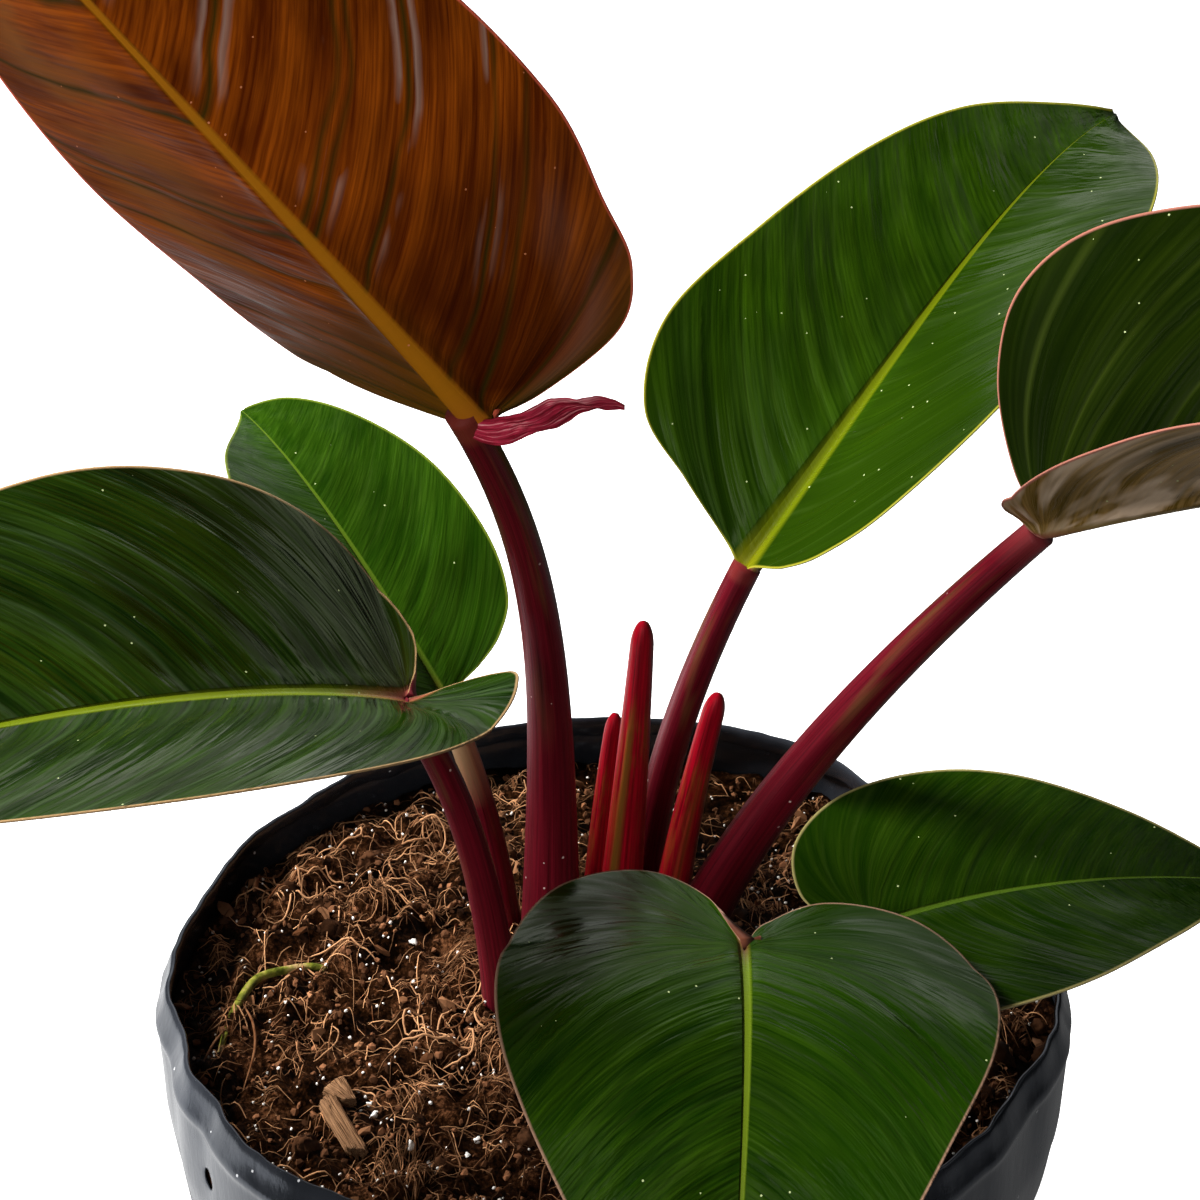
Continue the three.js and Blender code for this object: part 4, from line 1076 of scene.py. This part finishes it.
# Three new leaves, still rolled into red spears. The outer edge of each roll shows as a long overlapping lip.
SPEARS = {
    "tall": dict(path=[(0.5, 15, 120), (2, 15, 160), (6, 14, 205), (7.5, 12, 238)], radii=(7.4, 6.6, 2.8),
                 lip=(-0.9, -0.5), lip_top=0.72, stripe=0.9),
    "short": dict(path=[(-4.5, 28, 120), (-4, 27, 150), (-2, 26, 180), (1, 24, 205)], radii=(5, 4.6, 2.2),
                  lip=(0.5, 0.9), lip_top=0.95, stripe=0.15),
    "right": dict(path=[(13, 22, 120), (14, 22, 150), (20, 20, 185), (26, 17, 215)], radii=(6.2, 5.6, 2.8),
                  lip=(-0.5, 0.1), lip_top=0.62, stripe=0.35),
}
SPEAR_LIP = 0.085


def spear_section(spear):
    from_angle, to_angle = spear["lip"]

    def section(angle, share):
        edge = from_angle + (to_angle - from_angle) * share
        past = angle - edge
        lip = SPEAR_LIP * smooth(0, 0.09, past) * exp(-max(0, past) / 1.3)
        lip *= smooth(spear["lip_top"] + 0.03, spear["lip_top"], share)
        closing = max(0, (share - 0.93) / 0.07)
        return (0.96 + lip - 0.05 * (angle / (2 * pi) + 0.5)) * sqrt(max(0, 1 - closing * closing))

    return section


def spear_finish(name, spear):
    finish, tree, shader = new_finish(name, Specular_IOR_Level=0.25)
    grain = grain_on(tree)
    sine, cosine, share = grain_parts(tree)
    streaks = cloud(tree, grain, 1, 5, 0.65, (7, 7, 4))
    red = ramp(tree, streaks, [(0.34, (0.075, 0.0008, 0.003)), (0.66, (0.31, 0.0022, 0.0105))])
    from_angle, to_angle = spear["lip"]
    slope = maths(tree, "MULTIPLY_ADD", share, to_angle - from_angle, from_angle + 0.22)
    past = maths(tree, "ABSOLUTE", maths(tree, "SUBTRACT", maths(tree, "ARCTAN2", sine, cosine), slope))
    stripe = times(tree, ramp(tree, past, [(0.10, spear["stripe"]), (0.34, 0.0)]),
                   ramp(tree, share, [(0.70, 1.0), (0.80, 0.0)]))
    red = blend(tree, stripe, red, (0.13, 0.055, 0.008, 1))
    blotches = ramp(tree, cloud(tree, grain, 1, 4, 0.7, (2.5, 2.5, 9)), [(0.48, 0.0), (0.66, 0.7)])
    mottle = times(tree, blotches,
                   ramp(tree, share, [(0.35, 0.0), (0.5, 1.0), (0.75, 1.0), (0.85, 0.0)]))
    red = blend(tree, mottle, red, (0.15, 0.035, 0.006, 1))
    wire(tree, shader, red, relief(tree, streaks, 0.3, 0.0004), between(tree, streaks, 0.24, 0.42))
    return finish


for name, spear in SPEARS.items():
    roll = stalk_sheet(spear["path"], spear["radii"], (0, -1, 0), spear_section(spear), 72, 110)
    add_piece("rolled_leaf_" + name, roll, [spear_finish("rolled_leaf_" + name, spear)], "new_leaf",
              ["new_leaf_" + name])


# The dry sheath: the papery crimson wrapper of the front left leaf, crumpled where the blade meets its stalk.
# It holds on by its own dried end.
SHEATH_PATH = [(-31, -15.5, 301.3), (-21, -23, 300), (-10.5, -14, 310), (2.5, -10, 303.5)]
SHEATH_HALF_WIDTH, SHEATH_CRUMPLE = 3.4, 1.1
PAPER_THICKNESS = 0.35


def sheath_lay(u, v):
    across, share = 2 * u - 1, v
    twist = radians(-25 + 60 * share)
    width = SHEATH_HALF_WIDTH * sin(pi * (0.12 + 0.84 * share)) ** 0.6
    crease = SHEATH_CRUMPLE * sin(2 * pi * 2.6 * share + 2.2 * across) * sin(pi * share)
    lift = crease + 0.5 * noise.noise(Vector((share * 16, across * 2.2, 5)))
    place = cubic(SHEATH_PATH, share)[0]
    return (place.x, place.y - lift * cos(twist) - across * width * sin(twist),
            place.z + across * width * cos(twist) - lift * sin(twist))


# The palest pink in the ramp is a painted highlight on the crumpled paper.
paper = patterned_finish(
    "dry_sheath", grain_on, (1, 4, 0.6, (11, 2.2, 1)),
    [(0.40, (0.20, 0.004, 0.014)), (0.54, (0.50, 0.022, 0.060)), (0.68, (0.95, 0.44, 0.45))], (0.8, 0.0007),
    (0.4, 0.7), Specular_IOR_Level=0.35)
sheath = add_piece("dry_sheath_paper", laid_sheet(16, 90, sheath_lay), [paper], "dry_sheath", ["dry_sheath"])
papery = sheath.modifiers.new("paper_thickness", "SOLIDIFY")
papery.thickness = PAPER_THICKNESS * MM
papery.offset = 0
